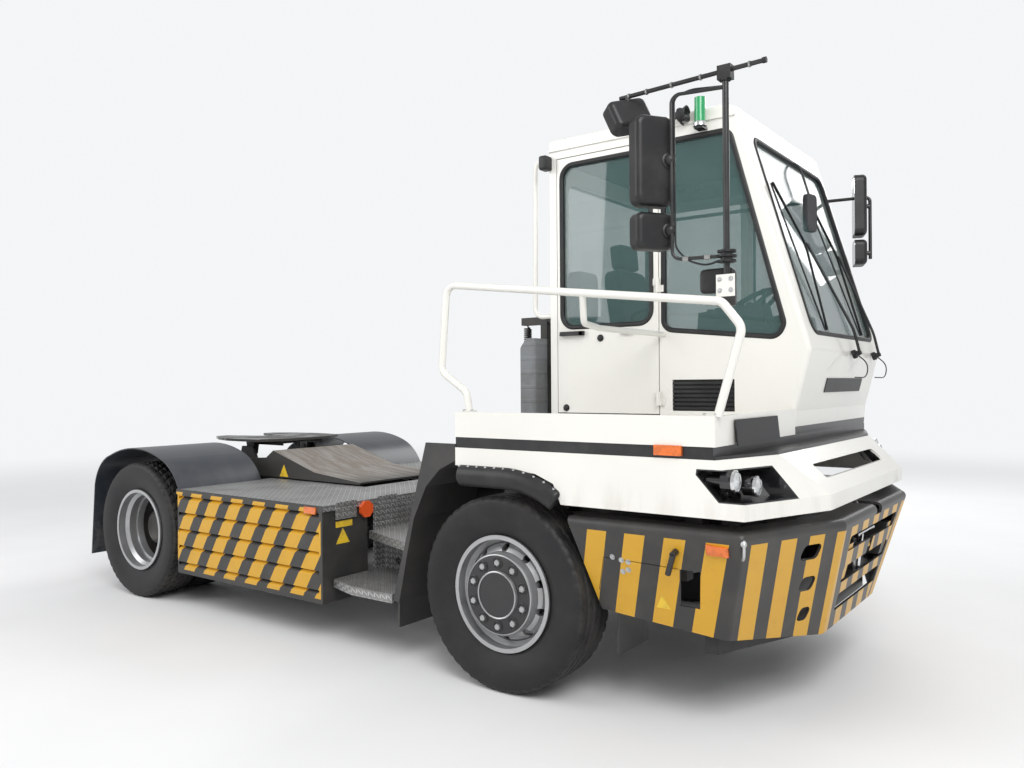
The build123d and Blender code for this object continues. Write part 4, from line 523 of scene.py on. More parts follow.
# %% [markdown]
# The windows are green-tinted safety glass. A pane that is partly see-through by its alpha lets
# the lamps light the cab's inside, which a refracting pane would keep dark. A faint smear makes
# it a little less clear in places. Mirror glass is simply a smooth bright metal.

# %% Glass


@finish
def glass():
    pane = Finish("glass", Specular_IOR_Level=0.9, Coat_Weight=1.0, Coat_Roughness=0.02)
    smear = pane.noise(2.2, 4).ramp(0.4, 0.75) * 0.06
    pane.set(Base_Color=pane.blend(smear * 3, (0.06, 0.15, 0.14), (0.16, 0.24, 0.235)), Roughness=0.03,
             Alpha=smear + 0.34)
    return pane.bump(pane.noise(1.5, 2), 0.0004, 0.02)


@finish
def mirror_glass():
    mirror = Finish("mirror_glass", Metallic=1.0)
    mirror.set(Base_Color=(0.75, 0.78, 0.80), Roughness=mirror.noise(3, 3).ramp(0.4, 0.7, 0.02, 0.06))
    return mirror.bump(mirror.noise(5, 2), 0.0001, 0.02)


# %% [markdown]
# Moulded plastics differ mostly in their grain: cab trim has a leathery grain, mirror heads and
# lamp housings a finer one, and the blow-moulded mudguards are smooth with a long soft shine.

# %% Plastics and seat fabric


@finish
def cab_trim():
    trim = dusty(Finish("cab_trim"), (0.035, 0.036, 0.040), (0.10, 0.095, 0.09), 0.25, 0.6)
    return trim.bump(trim.speckle(420), 0.0004, 0.35)


@finish
def black_plastic():
    moulded = dusty(Finish("black_plastic", Specular_IOR_Level=0.45), (0.011, 0.011, 0.012),
                    (0.075, 0.07, 0.065), 0.22, 0.42)
    return moulded.bump(moulded.speckle(600), 0.0002, 0.25)


@finish
def tower_grey():
    moulded = dusty(Finish("tower_grey"), (0.19, 0.20, 0.21), (0.13, 0.12, 0.11), 0.5, 0.5)
    ribs = (moulded.z * (2 * math.pi / 0.09)).sine().ramp(0.6, 0.9)
    return moulded.bump(ribs + moulded.noise(60, 3) * 0.2, 0.004, 0.5)


@finish
def guard_plastic():
    moulded = dusty(Finish("guard_plastic", Coat_Weight=0.25, Coat_Roughness=0.22),
                    (0.026, 0.031, 0.040), (0.12, 0.115, 0.11), 0.2, 0.36, 0.35, 0.75)
    return moulded.bump(moulded.noise(7, 3), 0.0012, 0.12)


@finish
def seat_cover():
    cloth = Finish("seat_cover", Sheen_Weight=0.25, Sheen_Roughness=0.4)
    weave = (cloth.y * 2600).sine() * (cloth.z * 2600 + cloth.x * 2600).sine()
    fleck = cloth.noise(90, 4, 0.7).ramp(0.45, 0.7)
    cloth.set(Base_Color=cloth.blend(fleck, (0.022, 0.023, 0.027), (0.055, 0.057, 0.065)), Roughness=0.85)
    return cloth.bump(weave, 0.0005, 0.35)


# %% [markdown]
# Lamp lenses are coloured plastic with fine ribs as bump. The clear ones let some light through.

# %% Lenses
BEACON_FOOT = 3.0


def lens(name, colour, ribs, through=0.0):
    """Coloured lamp plastic; ribs is their count for each metre upwards."""
    clear = Finish(name, Transmission_Weight=through, IOR=1.49, Coat_Weight=1.0, Coat_Roughness=0.03)
    deeper = tuple(channel * 0.75 for channel in colour)
    clear.set(Base_Color=clear.blend(clear.noise(40, 3).ramp(0.35, 0.65), colour, deeper), Roughness=0.12)
    clear.bump((clear.z * (ribs * 2 * math.pi)).sine(), 0.0008, 0.35)
    FINISHES[name] = clear.material


@finish
def lamp_units():
    """All lamp bodies: green beacon, black headlamp buckets, orange markers, red rear blocks."""
    body = Finish("lamp_units", Coat_Weight=0.8, Coat_Roughness=0.06)
    beacon = (body.z > BEACON_FOOT) * (body.x > ahead(0.6))
    marker = (body.x < ahead(-1.2)) * (body.x > ahead(-1.4))
    rear = body.x < behind(-0.6)
    colour = body.blend(beacon, (0.012, 0.012, 0.013), (0.015, 0.30, 0.10))
    colour = body.blend(marker, colour, (0.75, 0.10, 0.02))
    colour = body.blend(rear, colour, (0.42, 0.012, 0.01))
    grain = body.noise(40, 3)
    body.set(Base_Color=colour, Roughness=grain.ramp(0.3, 0.7, 0.14, 0.24))
    ribs = (body.z * (2 * math.pi * 160)).sine() * beacon.most(rear)
    return body.bump(ribs * 0.5 + grain * 0.1, 0.0008, 0.35)


lens("orange_lens", (0.80, 0.16, 0.012), 220)
lens("clear_lens", (0.82, 0.84, 0.85), 90, 0.25)


@finish
def sign_yellow():
    film = Finish("sign_yellow", Coat_Weight=0.3, Coat_Roughness=0.15)
    cloud = film.noise(30, 4).ramp(0.4, 0.7)
    film.set(Base_Color=film.blend(cloud, (0.78, 0.52, 0.03), (0.60, 0.38, 0.04)), Roughness=0.35)
    return film.bump(film.noise(200, 2), 0.0002, 0.1)


print("finishes", len(FINISHES))

# %% [markdown]
# Every node of the construction model now gets its finish. The table goes by finish, because many
# nodes share one.

# %% Which node has which finish
FINISH_OF_NODES = {
    "cab_paint": "lower_body walkway cab_side_right cab_side_left cab_rear_wall cab_front cab_roof "
                 "door_right door_left handrails",
    "box_stripes": "side_boxes",
    "bumper_stripes": "front_bumper",
    "grey_paint": "splash_guards",
    "black_paint": "belt_frame cab_floor mirror_frames",
    "chassis_paint": "knuckle_right knuckle_left track_rod front_axle_beam leaf_springs rear_axle "
                     "frame_rails cross_members cab_mounts engine_block propshaft hose_carrier "
                     "lift_barrels",
    "ramp_paint": "lift_frame",
    "tread_plate": "deck_plate steps",
    "tyre_rubber": "front_tyre_right front_tyre_left rear_tyres_right rear_tyres_left",
    "rim_paint": "front_wheel_right front_wheel_left rear_wheels_right rear_wheels_left",
    "glass": "door_glass_right door_glass_left cab_glass",
    "cab_trim": "dashboard",
    "seat_cover": "seat",
    "guard_plastic": "rear_mudguards",
    "black_plastic": "arch_flares vent_grille steering_wheel mirror_heads",
    "seal_rubber": "air_line",
    "tower_grey": "intake_tower",
    "lamp_units": "lamps",
    "bare_steel": "tow_pin",
    "rod_chrome": "lift_rods",
    "greased_iron": "fifth_wheel",
}
for finish_name, node_names in FINISH_OF_NODES.items():
    for node_name in node_names.split():
        slots = nodes[node_name].data.materials
        slots.clear()
        slots.append(FINISHES[finish_name])
unfinished = set(nodes) - set(" ".join(FINISH_OF_NODES.values()).split())
print("nodes without a finish", sorted(unfinished))

# %% [markdown]
# New pieces are made of grids of points. A shape gathers grids, and one call turns it into a mesh
# that rides on its body. A skin runs over rings of points and closes at both ends, so a turned
# part, a bar and a block are all skins over rings that come from one formula each.

# %% Shapes from grids


def unit(vector):
    """The vectors at length one."""
    vector = np.asarray(vector, float)
    return vector / np.linalg.norm(vector, axis=-1, keepdims=True)


class Shape:
    """Grids of points that become one piece."""

    def __init__(self):
        self.points, self.faces, self.total = [], [], 0

    def grid(self, points, around=False):
        """Quads over rows and columns of points; around joins the last column to the first."""
        rows, columns = points.shape[:2]
        index = np.arange(rows * columns).reshape(rows, columns) + self.total
        if around:
            index = np.concatenate([index, index[:, :1]], axis=1)
        quads = np.stack([index[:-1, :-1], index[:-1, 1:], index[1:, 1:], index[1:, :-1]], axis=-1)
        self.points.append(points.reshape(-1, 3))
        self.faces.append(quads.reshape(-1, 4))
        self.total += rows * columns
        return self

    def skin(self, rings):
        """Closed skin over rings of points, drawn together to a point at each end."""
        ends = [np.broadcast_to(ring.mean(axis=0), ring.shape) for ring in (rings[0], rings[-1])]
        return self.grid(np.concatenate([ends[:1], rings, ends[1:]]), around=True)

    def hoop(self, rings):
        """Closed skin over rings that come round to the first one again."""
        return self.grid(np.concatenate([rings, rings[:1]]), around=True)

    def lathe(self, profile, centre, axis, count=32):
        """Turns (radius, along) points about an axis: p = c + along a + radius (cos t s + sin t u)."""
        radius, along = np.array(profile, float).T
        axis = unit(axis)
        side = unit(np.cross(axis, (0.3, 0.1, 1.0)))
        up = np.cross(axis, side)
        turn = np.linspace(0, 2 * np.pi, count, endpoint=False)
        spokes = np.cos(turn)[:, None] * side + np.sin(turn)[:, None] * up
        return self.skin(np.asarray(centre) + along[:, None, None] * axis + radius[:, None, None] * spokes)

    def block(self, x, y, z):
        """Box between two ends on each axis."""
        corners = np.array([(x[0], y[0]), (x[1], y[0]), (x[1], y[1]), (x[0], y[1])], float)
        return self.skin(np.stack([np.column_stack([corners, np.full(4, height)]) for height in z]))

    def plate(self, outline, thickness):
        """Flat outline of 3-D points, carried along the thickness vector."""
        outline = np.asarray(outline, float)
        return self.skin(np.stack([outline, outline + np.asarray(thickness, float)]))

    def bar(self, route, radius, bend=0.0, count=12, flat=1.0):
        """Bar along a route with its corners eased by quadratic curves; flat squeezes its section."""
        line = eased(np.asarray(route, float), bend)
        ahead_of = unit(np.gradient(line, axis=0))
        side = unit(np.cross(ahead_of, (0.137, 0.411, 0.901)))
        up = np.cross(side, ahead_of)
        turn = np.linspace(0, 2 * np.pi, count, endpoint=False)[None, :, None]
        return self.skin(line[:, None] + radius * (np.cos(turn) * side[:, None]
                                                   + flat * np.sin(turn) * up[:, None]))

    def pillow(self, centre, half, turn=0.0, tilt=0.0, square=0.3):
        """Superellipsoid c + (a cu cv, b cu sv, h su), each cosine and sine raised to `square`."""
        def power(values):
            return np.sign(values) * np.abs(values) ** square

        u, v = np.linspace(-np.pi / 2, np.pi / 2, 17)[:, None], np.linspace(0, 2 * np.pi, 40, endpoint=False)
        across = power(np.cos(u))
        local = np.stack([half[0] * across * power(np.cos(v)), half[1] * across * power(np.sin(v)),
                          half[2] * np.broadcast_to(power(np.sin(u)), (17, 40))], axis=-1)
        return self.grid(local @ facing(turn, tilt) + np.asarray(centre, float), around=True)

    def bolt(self, place, axis, radius=0.009, height=0.007):
        """Hexagon head on a round washer."""
        self.lathe([(radius * 1.5, -0.001), (radius * 1.5, 0.0015)], place, axis, 16)
        return self.lathe([(radius, 0), (radius, height * 0.85), (radius * 0.85, height)], place, axis, 6)

    def make(self, name, finish_name, body="chassis", sharp=35, bevel=0.0):
        """The mesh: doubles merged, faces outward, edges over the sharp angle left crisp."""
        points, faces = np.concatenate(self.points), np.concatenate(self.faces)
        mesh = bpy.data.meshes.new(name)
        mesh.vertices.add(len(points))
        mesh.vertices.foreach_set("co", points.astype(np.float32).ravel())
        mesh.loops.add(faces.size)
        mesh.loops.foreach_set("vertex_index", faces.astype(np.int32).ravel())
        mesh.polygons.add(len(faces))
        mesh.polygons.foreach_set("loop_start", np.arange(0, faces.size, 4, dtype=np.int32))
        mesh.update(calc_edges=True)
        cleaned = bmesh.new()
        cleaned.from_mesh(mesh)
        bmesh.ops.remove_doubles(cleaned, verts=cleaned.verts, dist=1e-6)
        bmesh.ops.recalc_face_normals(cleaned, faces=cleaned.faces)
        cleaned.to_mesh(mesh)
        cleaned.free()
        mesh.polygons.foreach_set("use_smooth", np.ones(len(mesh.polygons), bool))
        mesh.set_sharp_from_angle(angle=math.radians(sharp))
        mesh.materials.append(FINISHES[finish_name])
        piece = bpy.data.objects.new(name, mesh)
        bpy.context.scene.collection.objects.link(piece)
        if bevel:
            edges = piece.modifiers.new("Rounding", "BEVEL")
            edges.width, edges.segments, edges.limit_method = bevel, 2, "ANGLE"
        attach(piece, body)
        print("piece", name, len(mesh.polygons))
        return piece


def turned(section, side, count):
    """Rings of a section of (radius, outward) points about the front axle, for a closed hoop."""
    angle = np.linspace(0, 2 * np.pi, count, endpoint=False)[:, None]
    radius, out = np.array(section, float).T
    return np.stack([FRONT_AXLE_X + radius * np.sin(angle), np.broadcast_to(side * out, (count, out.size)),
                     AXLE_Z + radius * np.cos(angle)], axis=-1)


def facing(turn, tilt):
    """Rows: forward, along and up directions of a box turned about Z after a tilt about Y, in radians."""
    forward = np.array((math.cos(tilt) * math.cos(turn), math.cos(tilt) * math.sin(turn), -math.sin(tilt)))
    along = np.array((-math.sin(turn), math.cos(turn), 0.0))
    return np.stack([forward, along, np.cross(forward, along)])


def eased(route, bend, steps=7):
    """The route with each inner corner replaced by a quadratic curve that starts a bend before it."""
    if not bend:
        return route
    share = np.linspace(0, 1, steps)[:, None]
    parts = [route[:1]]
    for before, corner, after in zip(route[:-2], route[1:-1], route[2:]):
        start, end = corner + unit(before - corner) * bend, corner + unit(after - corner) * bend
        parts.append((1 - share) ** 2 * start + 2 * share * (1 - share) * corner + share ** 2 * end)
    return np.concatenate(parts + [route[-1:]])


def rounded(corners, radius, steps=8):
    """Plane outline with an arc of the radius in place of each corner."""
    corners = np.asarray(corners, float)
    back, onward = unit(np.roll(corners, 1, axis=0) - corners), unit(np.roll(corners, -1, axis=0) - corners)
    half = np.arccos(np.clip((back * onward).sum(axis=1), -1, 1))[:, None] / 2
    middle = corners + unit(back + onward) * radius / np.sin(half)
    reach = radius / np.tan(half)
    first, last = corners + back * reach - middle, corners + onward * reach - middle
    angle, share = (np.pi - 2 * half)[:, None], np.linspace(0, 1, steps)[None, :, None]
    arc = np.sin((1 - share) * angle) * first[:, None] + np.sin(share * angle) * last[:, None]
    return (middle[:, None] + arc / np.sin(angle)).reshape(-1, 2)


def outward(outline):
    """Unit normals of a closed plane outline, away from its middle."""
    run = np.roll(outline, -1, axis=0) - np.roll(outline, 1, axis=0)
    normal = unit(np.column_stack([run[:, 1], -run[:, 0]]))
    facing = ((outline - outline.mean(axis=0)) * normal).sum(axis=1).mean()
    return normal * np.sign(facing)


# %% [markdown]
# The tyres. A tyre's skin is a torus-like grid: round the axle by an angle, and across by a profile
# that goes from bead to bead over the tread. The steered tyres have long ribs, so their grooves run
# round the tyre and waver. The driven tyres have blocks: slanted grooves cross the ribs. Grooves
# are sunk by a formula of the angle and the place across, and fade out at the shoulders.

# %% Tyres
RIM_EDGE = 0.2865
TYRE_STEPS = 300
GROOVE_DEPTH = 0.013


def soft_step(value, start, end):
    """0 before start, 1 after end, smooth between them."""
    share = np.clip((value - start) / (end - start), 0, 1)
    return share * share * (3 - 2 * share)


def tyre_surface(width, driven, centre_y):
    """Points on one tyre about its own axle, rows round it and columns from bead to bead."""
    half = width / 2
    side = np.linspace(0, 1, 16)
    sidewall_y = 0.1 + (half - 0.1) * np.sin(side * np.pi * 0.62) / np.sin(np.pi * 0.62) * (1 - 0.06 * side)
    sidewall_r = RIM_EDGE + 0.005 + (TYRE_RADIUS - 0.026 - RIM_EDGE) * side
    tread_y = np.linspace(half - 0.022, -half + 0.022, 73)
    across = np.concatenate([sidewall_y, tread_y, -sidewall_y[::-1]])
    radius = np.concatenate([sidewall_r, np.full(73, TYRE_RADIUS), sidewall_r[::-1]])
    on_tread = np.concatenate([np.zeros(16), np.ones(73), np.zeros(16)])
    radius = radius - on_tread * 0.005 * (across / half) ** 4
    turn = np.linspace(0, 2 * np.pi, TYRE_STEPS, endpoint=False)[:, None]
    grooves = np.zeros((TYRE_STEPS, across.size))
    waver = 0.0035 * np.sin(turn * 60)
    for place in (-0.078, -0.027, 0.027, 0.078):
        grooves = np.maximum(grooves, 1 - soft_step(np.abs(across - place - waver), 0.0035, 0.0075))
    if driven:
        slant = np.abs(((turn * 50 / (2 * np.pi) + across / 0.09) % 1.0) - 0.5)
        grooves = np.maximum(grooves, 1 - soft_step(slant, 0.09, 0.20))
    lugs = np.abs(((turn * 50 / (2 * np.pi)) % 1.0) - 0.5)
    shoulder = (np.abs(across) > half - 0.035) * (radius > TYRE_RADIUS - 0.03)
    depth = GROOVE_DEPTH * grooves * on_tread * (np.abs(across) < half - 0.03)
    depth = depth + 0.006 * (1 - soft_step(lugs, 0.10, 0.2)) * shoulder
    inner = np.array([(-0.1, RIM_EDGE - 0.002), (0.1, RIM_EDGE - 0.002)])
    reach = np.concatenate([radius[None] - depth, np.tile(inner[:, 1], (TYRE_STEPS, 1))], axis=1)
    across = np.concatenate([across, inner[:, 0]])
    return np.stack([reach * np.sin(turn), np.broadcast_to(across + centre_y, reach.shape),
                     reach * np.cos(turn) + AXLE_Z], axis=-1)


for side_name, side in (("right", -1), ("left", 1)):
    for end, axle_x, width, offsets in (("front_tyre_", FRONT_AXLE_X, 0.295, (1.09,)),
                                        ("rear_tyres_", REAR_AXLE_X, 0.28, (1.11, 0.785))):
        shape = Shape()
        for offset in offsets:
            shape.hoop(tyre_surface(width, end == "rear_tyres_", side * offset) + (axle_x, 0, 0))
        wheel_body = ("front_wheel_" if end == "front_tyre_" else "rear_wheels_") + side_name
        tyre_piece = shape.make(end + side_name + "_tread", "tyre_rubber", wheel_body, sharp=50)
        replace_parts(tyre_piece, end + side_name)

# %% [markdown]
# Every window sits in a black rubber seal. The seal's section is the same all round: it grips the
# pane, bulges over the panel and comes back to it. The windscreen leans, so its outline is drawn on
# the slope and carried out along the slope's normal.

# %% Window seals
SEAL = np.array([(-0.011, -0.017), (-0.011, 0.0), (-0.005, 0.006), (0.009, 0.007), (0.017, 0.001),
                 (0.017, -0.004), (0.002, -0.017)])
CAB_RIGHT, CAB_LEFT = -0.2, HALF_WIDTH
CAB_REAR = ahead(-0.355)
SLOPE_FOOT, SLOPE_TOP = np.array((ahead(1.248), 0, 1.8)), np.array((ahead(0.884), 0, 3.03))
SLOPE_UP = unit(SLOPE_TOP - SLOPE_FOOT)
SLOPE_OUT = np.array((SLOPE_UP[2], 0, -SLOPE_UP[0]))
SLOPE_LENGTH = float(np.linalg.norm(SLOPE_TOP - SLOPE_FOOT))


def slope_x(z):
    """X of the sloping windscreen wall at a height."""
    return float(SLOPE_FOOT[0] + (z - SLOPE_FOOT[2]) / (SLOPE_TOP[2] - SLOPE_FOOT[2])
                 * (SLOPE_TOP[0] - SLOPE_FOOT[0]))


DOOR_PANE = [(ahead(-0.266), 1.922), (ahead(0.348), 1.922), (ahead(0.348), 2.928), (ahead(-0.266), 2.928)]
QUARTER_PANE = [(ahead(0.432), 2.955), (ahead(0.428), 1.88), (slope_x(1.8) - 0.158, 1.812),
                (slope_x(1.88) - 0.102, 1.88), (slope_x(2.955) - 0.078, 2.955)]
WINDSCREEN = [(-0.075, 0.04), (1.175, 0.04), (1.175, SLOPE_LENGTH - 0.108), (-0.075, SLOPE_LENGTH - 0.108)]
REAR_PANE = [(-0.05, 1.98), (1.1, 1.98), (1.1, 2.86), (-0.05, 2.86)]


def seal_rings(outline, origin, across, up, out):
    """Rings of the seal's section along an outline drawn on the across and up directions."""
    normal = outward(outline)
    plane = outline[:, None] + SEAL[None, :, :1] * normal[:, None]
    flat = plane[..., :1] * np.asarray(across, float) + plane[..., 1:] * np.asarray(up, float)
    return np.asarray(origin, float) + flat + SEAL[None, :, 1:] * np.asarray(out, float)


def window_seal(name, corners, radius, origin, across, up, out, body="chassis"):
    """Rubber seal round a pane whose corners are rounded."""
    rings = seal_rings(rounded(corners, radius), origin, across, up, out)
    Shape().hoop(rings).make(name, "seal_rubber", body)


CAB_SIDES = (("right", CAB_RIGHT, -1), ("left", CAB_LEFT, 1))
for side_name, y, out in CAB_SIDES:
    side_frame = ((0, y, 0), (1, 0, 0), (0, 0, 1), (0, out, 0))
    window_seal("door_seal_" + side_name, DOOR_PANE, 0.08, *side_frame, "door_" + side_name)
    window_seal("quarter_seal_" + side_name, QUARTER_PANE, 0.06, *side_frame)
window_seal("windscreen_seal", WINDSCREEN, 0.07, SLOPE_FOOT, (0, 1, 0), SLOPE_UP, SLOPE_OUT)
window_seal("rear_pane_seal", REAR_PANE, 0.08, (CAB_REAR, 0, 0), (0, 1, 0), (0, 0, 1), (-1, 0, 0))

# %% [markdown]
# Two long wipers lie on the windscreen. Each has a spindle low on the wall under the glass, a pair
# of rods up to its blade, and a washer hose that curls back to the wall. Places are given on the
# slope as (y, distance up it), with a height above the glass.

# %% Wipers


def on_slope(y, up, height):
    """A point over the sloping wall."""
    return SLOPE_FOOT + np.array((0, y, 0)) + SLOPE_UP * up + SLOPE_OUT * height


WIPERS = (((0.583, -0.075), (0.17, 0.56), (-0.045, 0.90), (0.12, 0.05)),
          ((1.05, -0.075), (0.80, 0.56), (0.62, 0.90), (0.85, 0.05)))
wipers = Shape()
for pivot, arm_end, blade_top, blade_foot in WIPERS:
    spindle = on_slope(*pivot, 0.0)
    wipers.lathe([(0.026, 0), (0.026, 0.02), (0.016, 0.026), (0.012, 0.05), (0, 0.052)],
                 spindle, SLOPE_OUT, 20)
    for shift in (-0.012, 0.012):
        wipers.bar([on_slope(pivot[0] + shift, pivot[1], 0.04),
                    on_slope(pivot[0] - 0.03 + shift, 0.06, 0.055),
                    on_slope(arm_end[0] + shift, arm_end[1], 0.045)], 0.0055, 0.04, 8)
    wipers.bar([on_slope(*blade_top, 0.022), on_slope(*arm_end, 0.036), on_slope(*blade_foot, 0.022)],
               0.009, 0.05, 8, flat=0.6)
    wipers.bar([on_slope(*blade_top, 0.012), on_slope(*blade_foot, 0.012)], 0.005, 0, 6)
    wipers.bar([spindle + SLOPE_OUT * 0.02, on_slope(pivot[0] + 0.08, pivot[1] - 0.07, 0.05),
                on_slope(pivot[0] + 0.02, pivot[1] - 0.15, 0.03),
                on_slope(pivot[0] - 0.12, pivot[1] - 0.14, 0.002)],
               0.0035, 0.05, 8)
wipers.make("wipers", "black_plastic")

# %% [markdown]
# The curly air line hangs between the two arms of the stand behind the cab. Its centreline is one
# helix: c + (r cos t, r sin t, z), where z falls evenly and r opens from the fitting to the full
# coil over the first quarter turn and closes again over the last one.

# %% Curly air line
LINE_AXIS = (ahead(-0.65), -0.035)
LINE_TOP, LINE_FOOT = 1.96, 1.70
LINE_DIAMETER, LINE_TURNS, COIL_RADIUS = 0.010, 17, 0.0235
POINTS_A_TURN = 12


def helix_points():
    """Control points of the coil: t runs over the turns, r = R step(t) step(T - t)."""
    turns = np.arange(LINE_TURNS * POINTS_A_TURN + 1) / POINTS_A_TURN
    radius = COIL_RADIUS * soft_step(turns, -0.05, 0.3) * soft_step(LINE_TURNS - turns, -0.05, 0.3)
    angle = turns * 2 * np.pi
    height = np.linspace(LINE_TOP - 0.014, LINE_FOOT + 0.014, turns.size)
    coil = np.column_stack([LINE_AXIS[0] + radius * np.cos(angle),
                            LINE_AXIS[1] + radius * np.sin(angle), height])
    return np.concatenate([[(*LINE_AXIS, LINE_TOP)], coil, [(*LINE_AXIS, LINE_FOOT)]])


def length_of(curve_object):
    """Length of a curve's own line, measured on the mesh that it makes without a bevel."""
    depth, curve_object.data.bevel_depth = curve_object.data.bevel_depth, 0
    line = bpy.data.meshes.new_from_object(curve_object)
    curve_object.data.bevel_depth = depth
    points = np.empty(len(line.vertices) * 3, np.float32)
    line.vertices.foreach_get("co", points)
    bpy.data.meshes.remove(line)
    return float(np.linalg.norm(np.diff(points.reshape(-1, 3), axis=0), axis=1).sum())


line_curve = bpy.data.curves.new("air_line_coil", "CURVE")
line_curve.dimensions = "3D"
line_points = helix_points()
spline = line_curve.splines.new("NURBS")
spline.points.add(len(line_points) - 1)
spline.points.foreach_set("co", np.column_stack([line_points, np.ones(len(line_points))]).ravel())
spline.order_u, spline.use_endpoint_u = 3, True
line_curve.resolution_u = 3
line_curve.bevel_depth, line_curve.bevel_resolution = LINE_DIAMETER / 2, 2
line_curve.materials.append(FINISHES["seal_rubber"])
coil = bpy.data.objects.new("air_line_coil", line_curve)
bpy.context.scene.collection.objects.link(coil)
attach(coil, "chassis")
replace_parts(coil, "air_line")
coil_length = length_of(coil)
print("air line", round(coil_length, 3))

# %% [markdown]
# The side boxes' outer sheet is folded into five sharp grooves. Its section is drawn once, as
# (depth, height), and carried along the box between two plain end frames. A dark edge strip with
# the tops of the stripes covers the deck's side.

# %% Side boxes
BOX_REAR, BOX_FRONT, FRAME_WIDTH = ahead(-2.84), ahead(-1.31), 0.03
BOX_FOOT, BOX_TOP, BOX_DEPTH = 0.255, 0.81, 0.37
GROOVES, GROOVE_HALF, GROOVE_DEPTH_IN = 0.3225 + 0.116 * np.arange(5), 0.014, 0.024
section = [(BOX_DEPTH, BOX_FOOT), (0, BOX_FOOT)]
for middle in GROOVES:
    section += [(0, middle - GROOVE_HALF), (GROOVE_DEPTH_IN, middle + 0.006), (0, middle + GROOVE_HALF)]
section = np.array(section + [(0, BOX_TOP), (BOX_DEPTH, BOX_TOP)])
boxes, reflectors = Shape(), Shape()
for side in (-1, 1):
    outer, inner = side * HALF_WIDTH, side * (HALF_WIDTH - BOX_DEPTH)
    boxes.skin(np.stack([
        np.column_stack([np.full(len(section), x), side * (HALF_WIDTH - section[:, 0]), section[:, 1]])
        for x in (BOX_REAR + 0.012, BOX_FRONT - FRAME_WIDTH)]))
    boxes.block((BOX_REAR, BOX_REAR + 0.012), (inner, outer), (BOX_FOOT, BOX_TOP))
    boxes.block((BOX_FRONT - FRAME_WIDTH, BOX_FRONT), (inner, outer), (BOX_FOOT, BOX_TOP))
    boxes.block((ahead(-2.855), ahead(-1.3)), (outer, outer + side * 0.0015), (0.808, 0.8455))
    reflectors.block((ahead(-1.464), ahead(-1.361)), (outer + side * 0.001, outer + side * 0.012),
                     (0.793, 0.834))
    reflectors.block((ahead(0.895), ahead(1.027)), (side * 1.244, side * 1.262), (1.252, 1.298))
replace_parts(boxes.make("side_box_sheets", "box_stripes", bevel=0.0015), "side_boxes")

# %% [markdown]
# On the folded bumper a place on a leaning face is (x, z) and a height over the face. The faces lean
# inwards by a fixed share of the way down from the top, a little outside the round bend. The tow
# pin's handle stands before the slots, with a black sheet behind them that is painted shade: it
# stands in for the shadow seen through the slots. The front hubs get the plate, the dished nuts and
# the cap ring that stand out from the wheel's disc.

# %% Bumper fittings and front hubs
SIDE_SLOPE, BUMPER_BEND = 146 / 499, 0.03


def on_bumper_side(side, x, z, height=0.0):
    """A point over the bumper's leaning side face."""
    lean = math.hypot(1, SIDE_SLOPE)
    reach = HALF_WIDTH + BUMPER_BEND * (SIDE_SLOPE + lean - 1) - (BUMPER_TOP - z) * SIDE_SLOPE
    return np.array((ahead(x), side * (reach + height / lean), z - height * SIDE_SLOPE / lean))


def side_plate(shape, side, corners, low, high):
    """Plate on the bumper's side face between two heights over it."""
    outline = np.array([on_bumper_side(side, x, z, low) for x, z in corners])
    return shape.plate(outline, on_bumper_side(side, 0, 0.8, high) - on_bumper_side(side, 0, 0.8, low))


for side in (-1, 1):
    side_plate(reflectors, side, [(1.131, 0.836), (1.230, 0.834), (1.230, 0.876), (1.131, 0.882)],
               -0.001, 0.011)
reflectors.make("orange_reflectors", "orange_lens", bevel=0.002)

hardware = Shape()
latch = Shape()
low_end, high_end = (0.945, 0.734), (0.984, 0.830)
latch.bar([on_bumper_side(-1, *low_end, 0.030), on_bumper_side(-1, *high_end, 0.030)], 0.013, 0, 16)
latch.bar([on_bumper_side(-1, *high_end), on_bumper_side(-1, *high_end, 0.036)], 0.015, 0, 16)
latch.make("bumper_latch", "hub_paint")
for x, z in ((0.655, 0.765), (0.700, 0.755), (0.735, 0.750), (0.700, 0.700), (0.730, 0.712)):
    hardware.bolt(on_bumper_side(-1, x, z), on_bumper_side(-1, x, z, 1) - on_bumper_side(-1, x, z))
fold = on_bumper_side(-1, 1.298, 0.87)
hardware.bar([fold + (0, 0, 0.04), fold + (0.006, -0.014, 0.03), fold + (0.004, -0.014, -0.03),
              fold + (-0.006, 0, -0.04)], 0.006, 0.012)
hardware.lathe([(0.013, -0.004), (0.013, 0.008), (0.006, 0.013)], fold + (0, -0.004, 0.028), (0.4, -1, 0), 16)
hardware.make("bumper_hardware", "galvanised")
handle = Shape()
PIN_X, HANDLE_X, HANDLE_Z, HANDLE_REACH = ahead(1.412), ahead(1.468), 0.79, 0.15
handle.bar([(PIN_X, 0, HANDLE_Z + 0.02), (HANDLE_X - 0.01, 0, HANDLE_Z + 0.012), (ahead(1.43), 0, 0.58)],
           0.012, 0.03, 16)
handle.bar([(HANDLE_X, -HANDLE_REACH, HANDLE_Z), (HANDLE_X, HANDLE_REACH, HANDLE_Z)], 0.010)
for end in (-HANDLE_REACH, HANDLE_REACH):
    handle.lathe([(0.014, -0.012), (0.014, 0.012)], (HANDLE_X, end, HANDLE_Z), (0, 1, 0), 16)
handle.make("tow_pin_handle", "rod_chrome")

# Painted shade: a black sheet behind the bumper's slots, so that they show dark like the shadow under the
# bumper.
shade_sheet = Shape()
SHADE_SHEET_PLAN = ((1.06, 1.10), (1.12, 1.08), (1.31, 0.60))
route = [(ahead(x), -y) for x, y in SHADE_SHEET_PLAN] + [(ahead(x), y) for x, y in SHADE_SHEET_PLAN[::-1]]
shade_sheet.grid(np.array([[(*place, z) for place in route] for z in (0.365, 0.92)]))
shade_sheet.make("bumper_shade_sheet", "black_plastic", sharp=20)

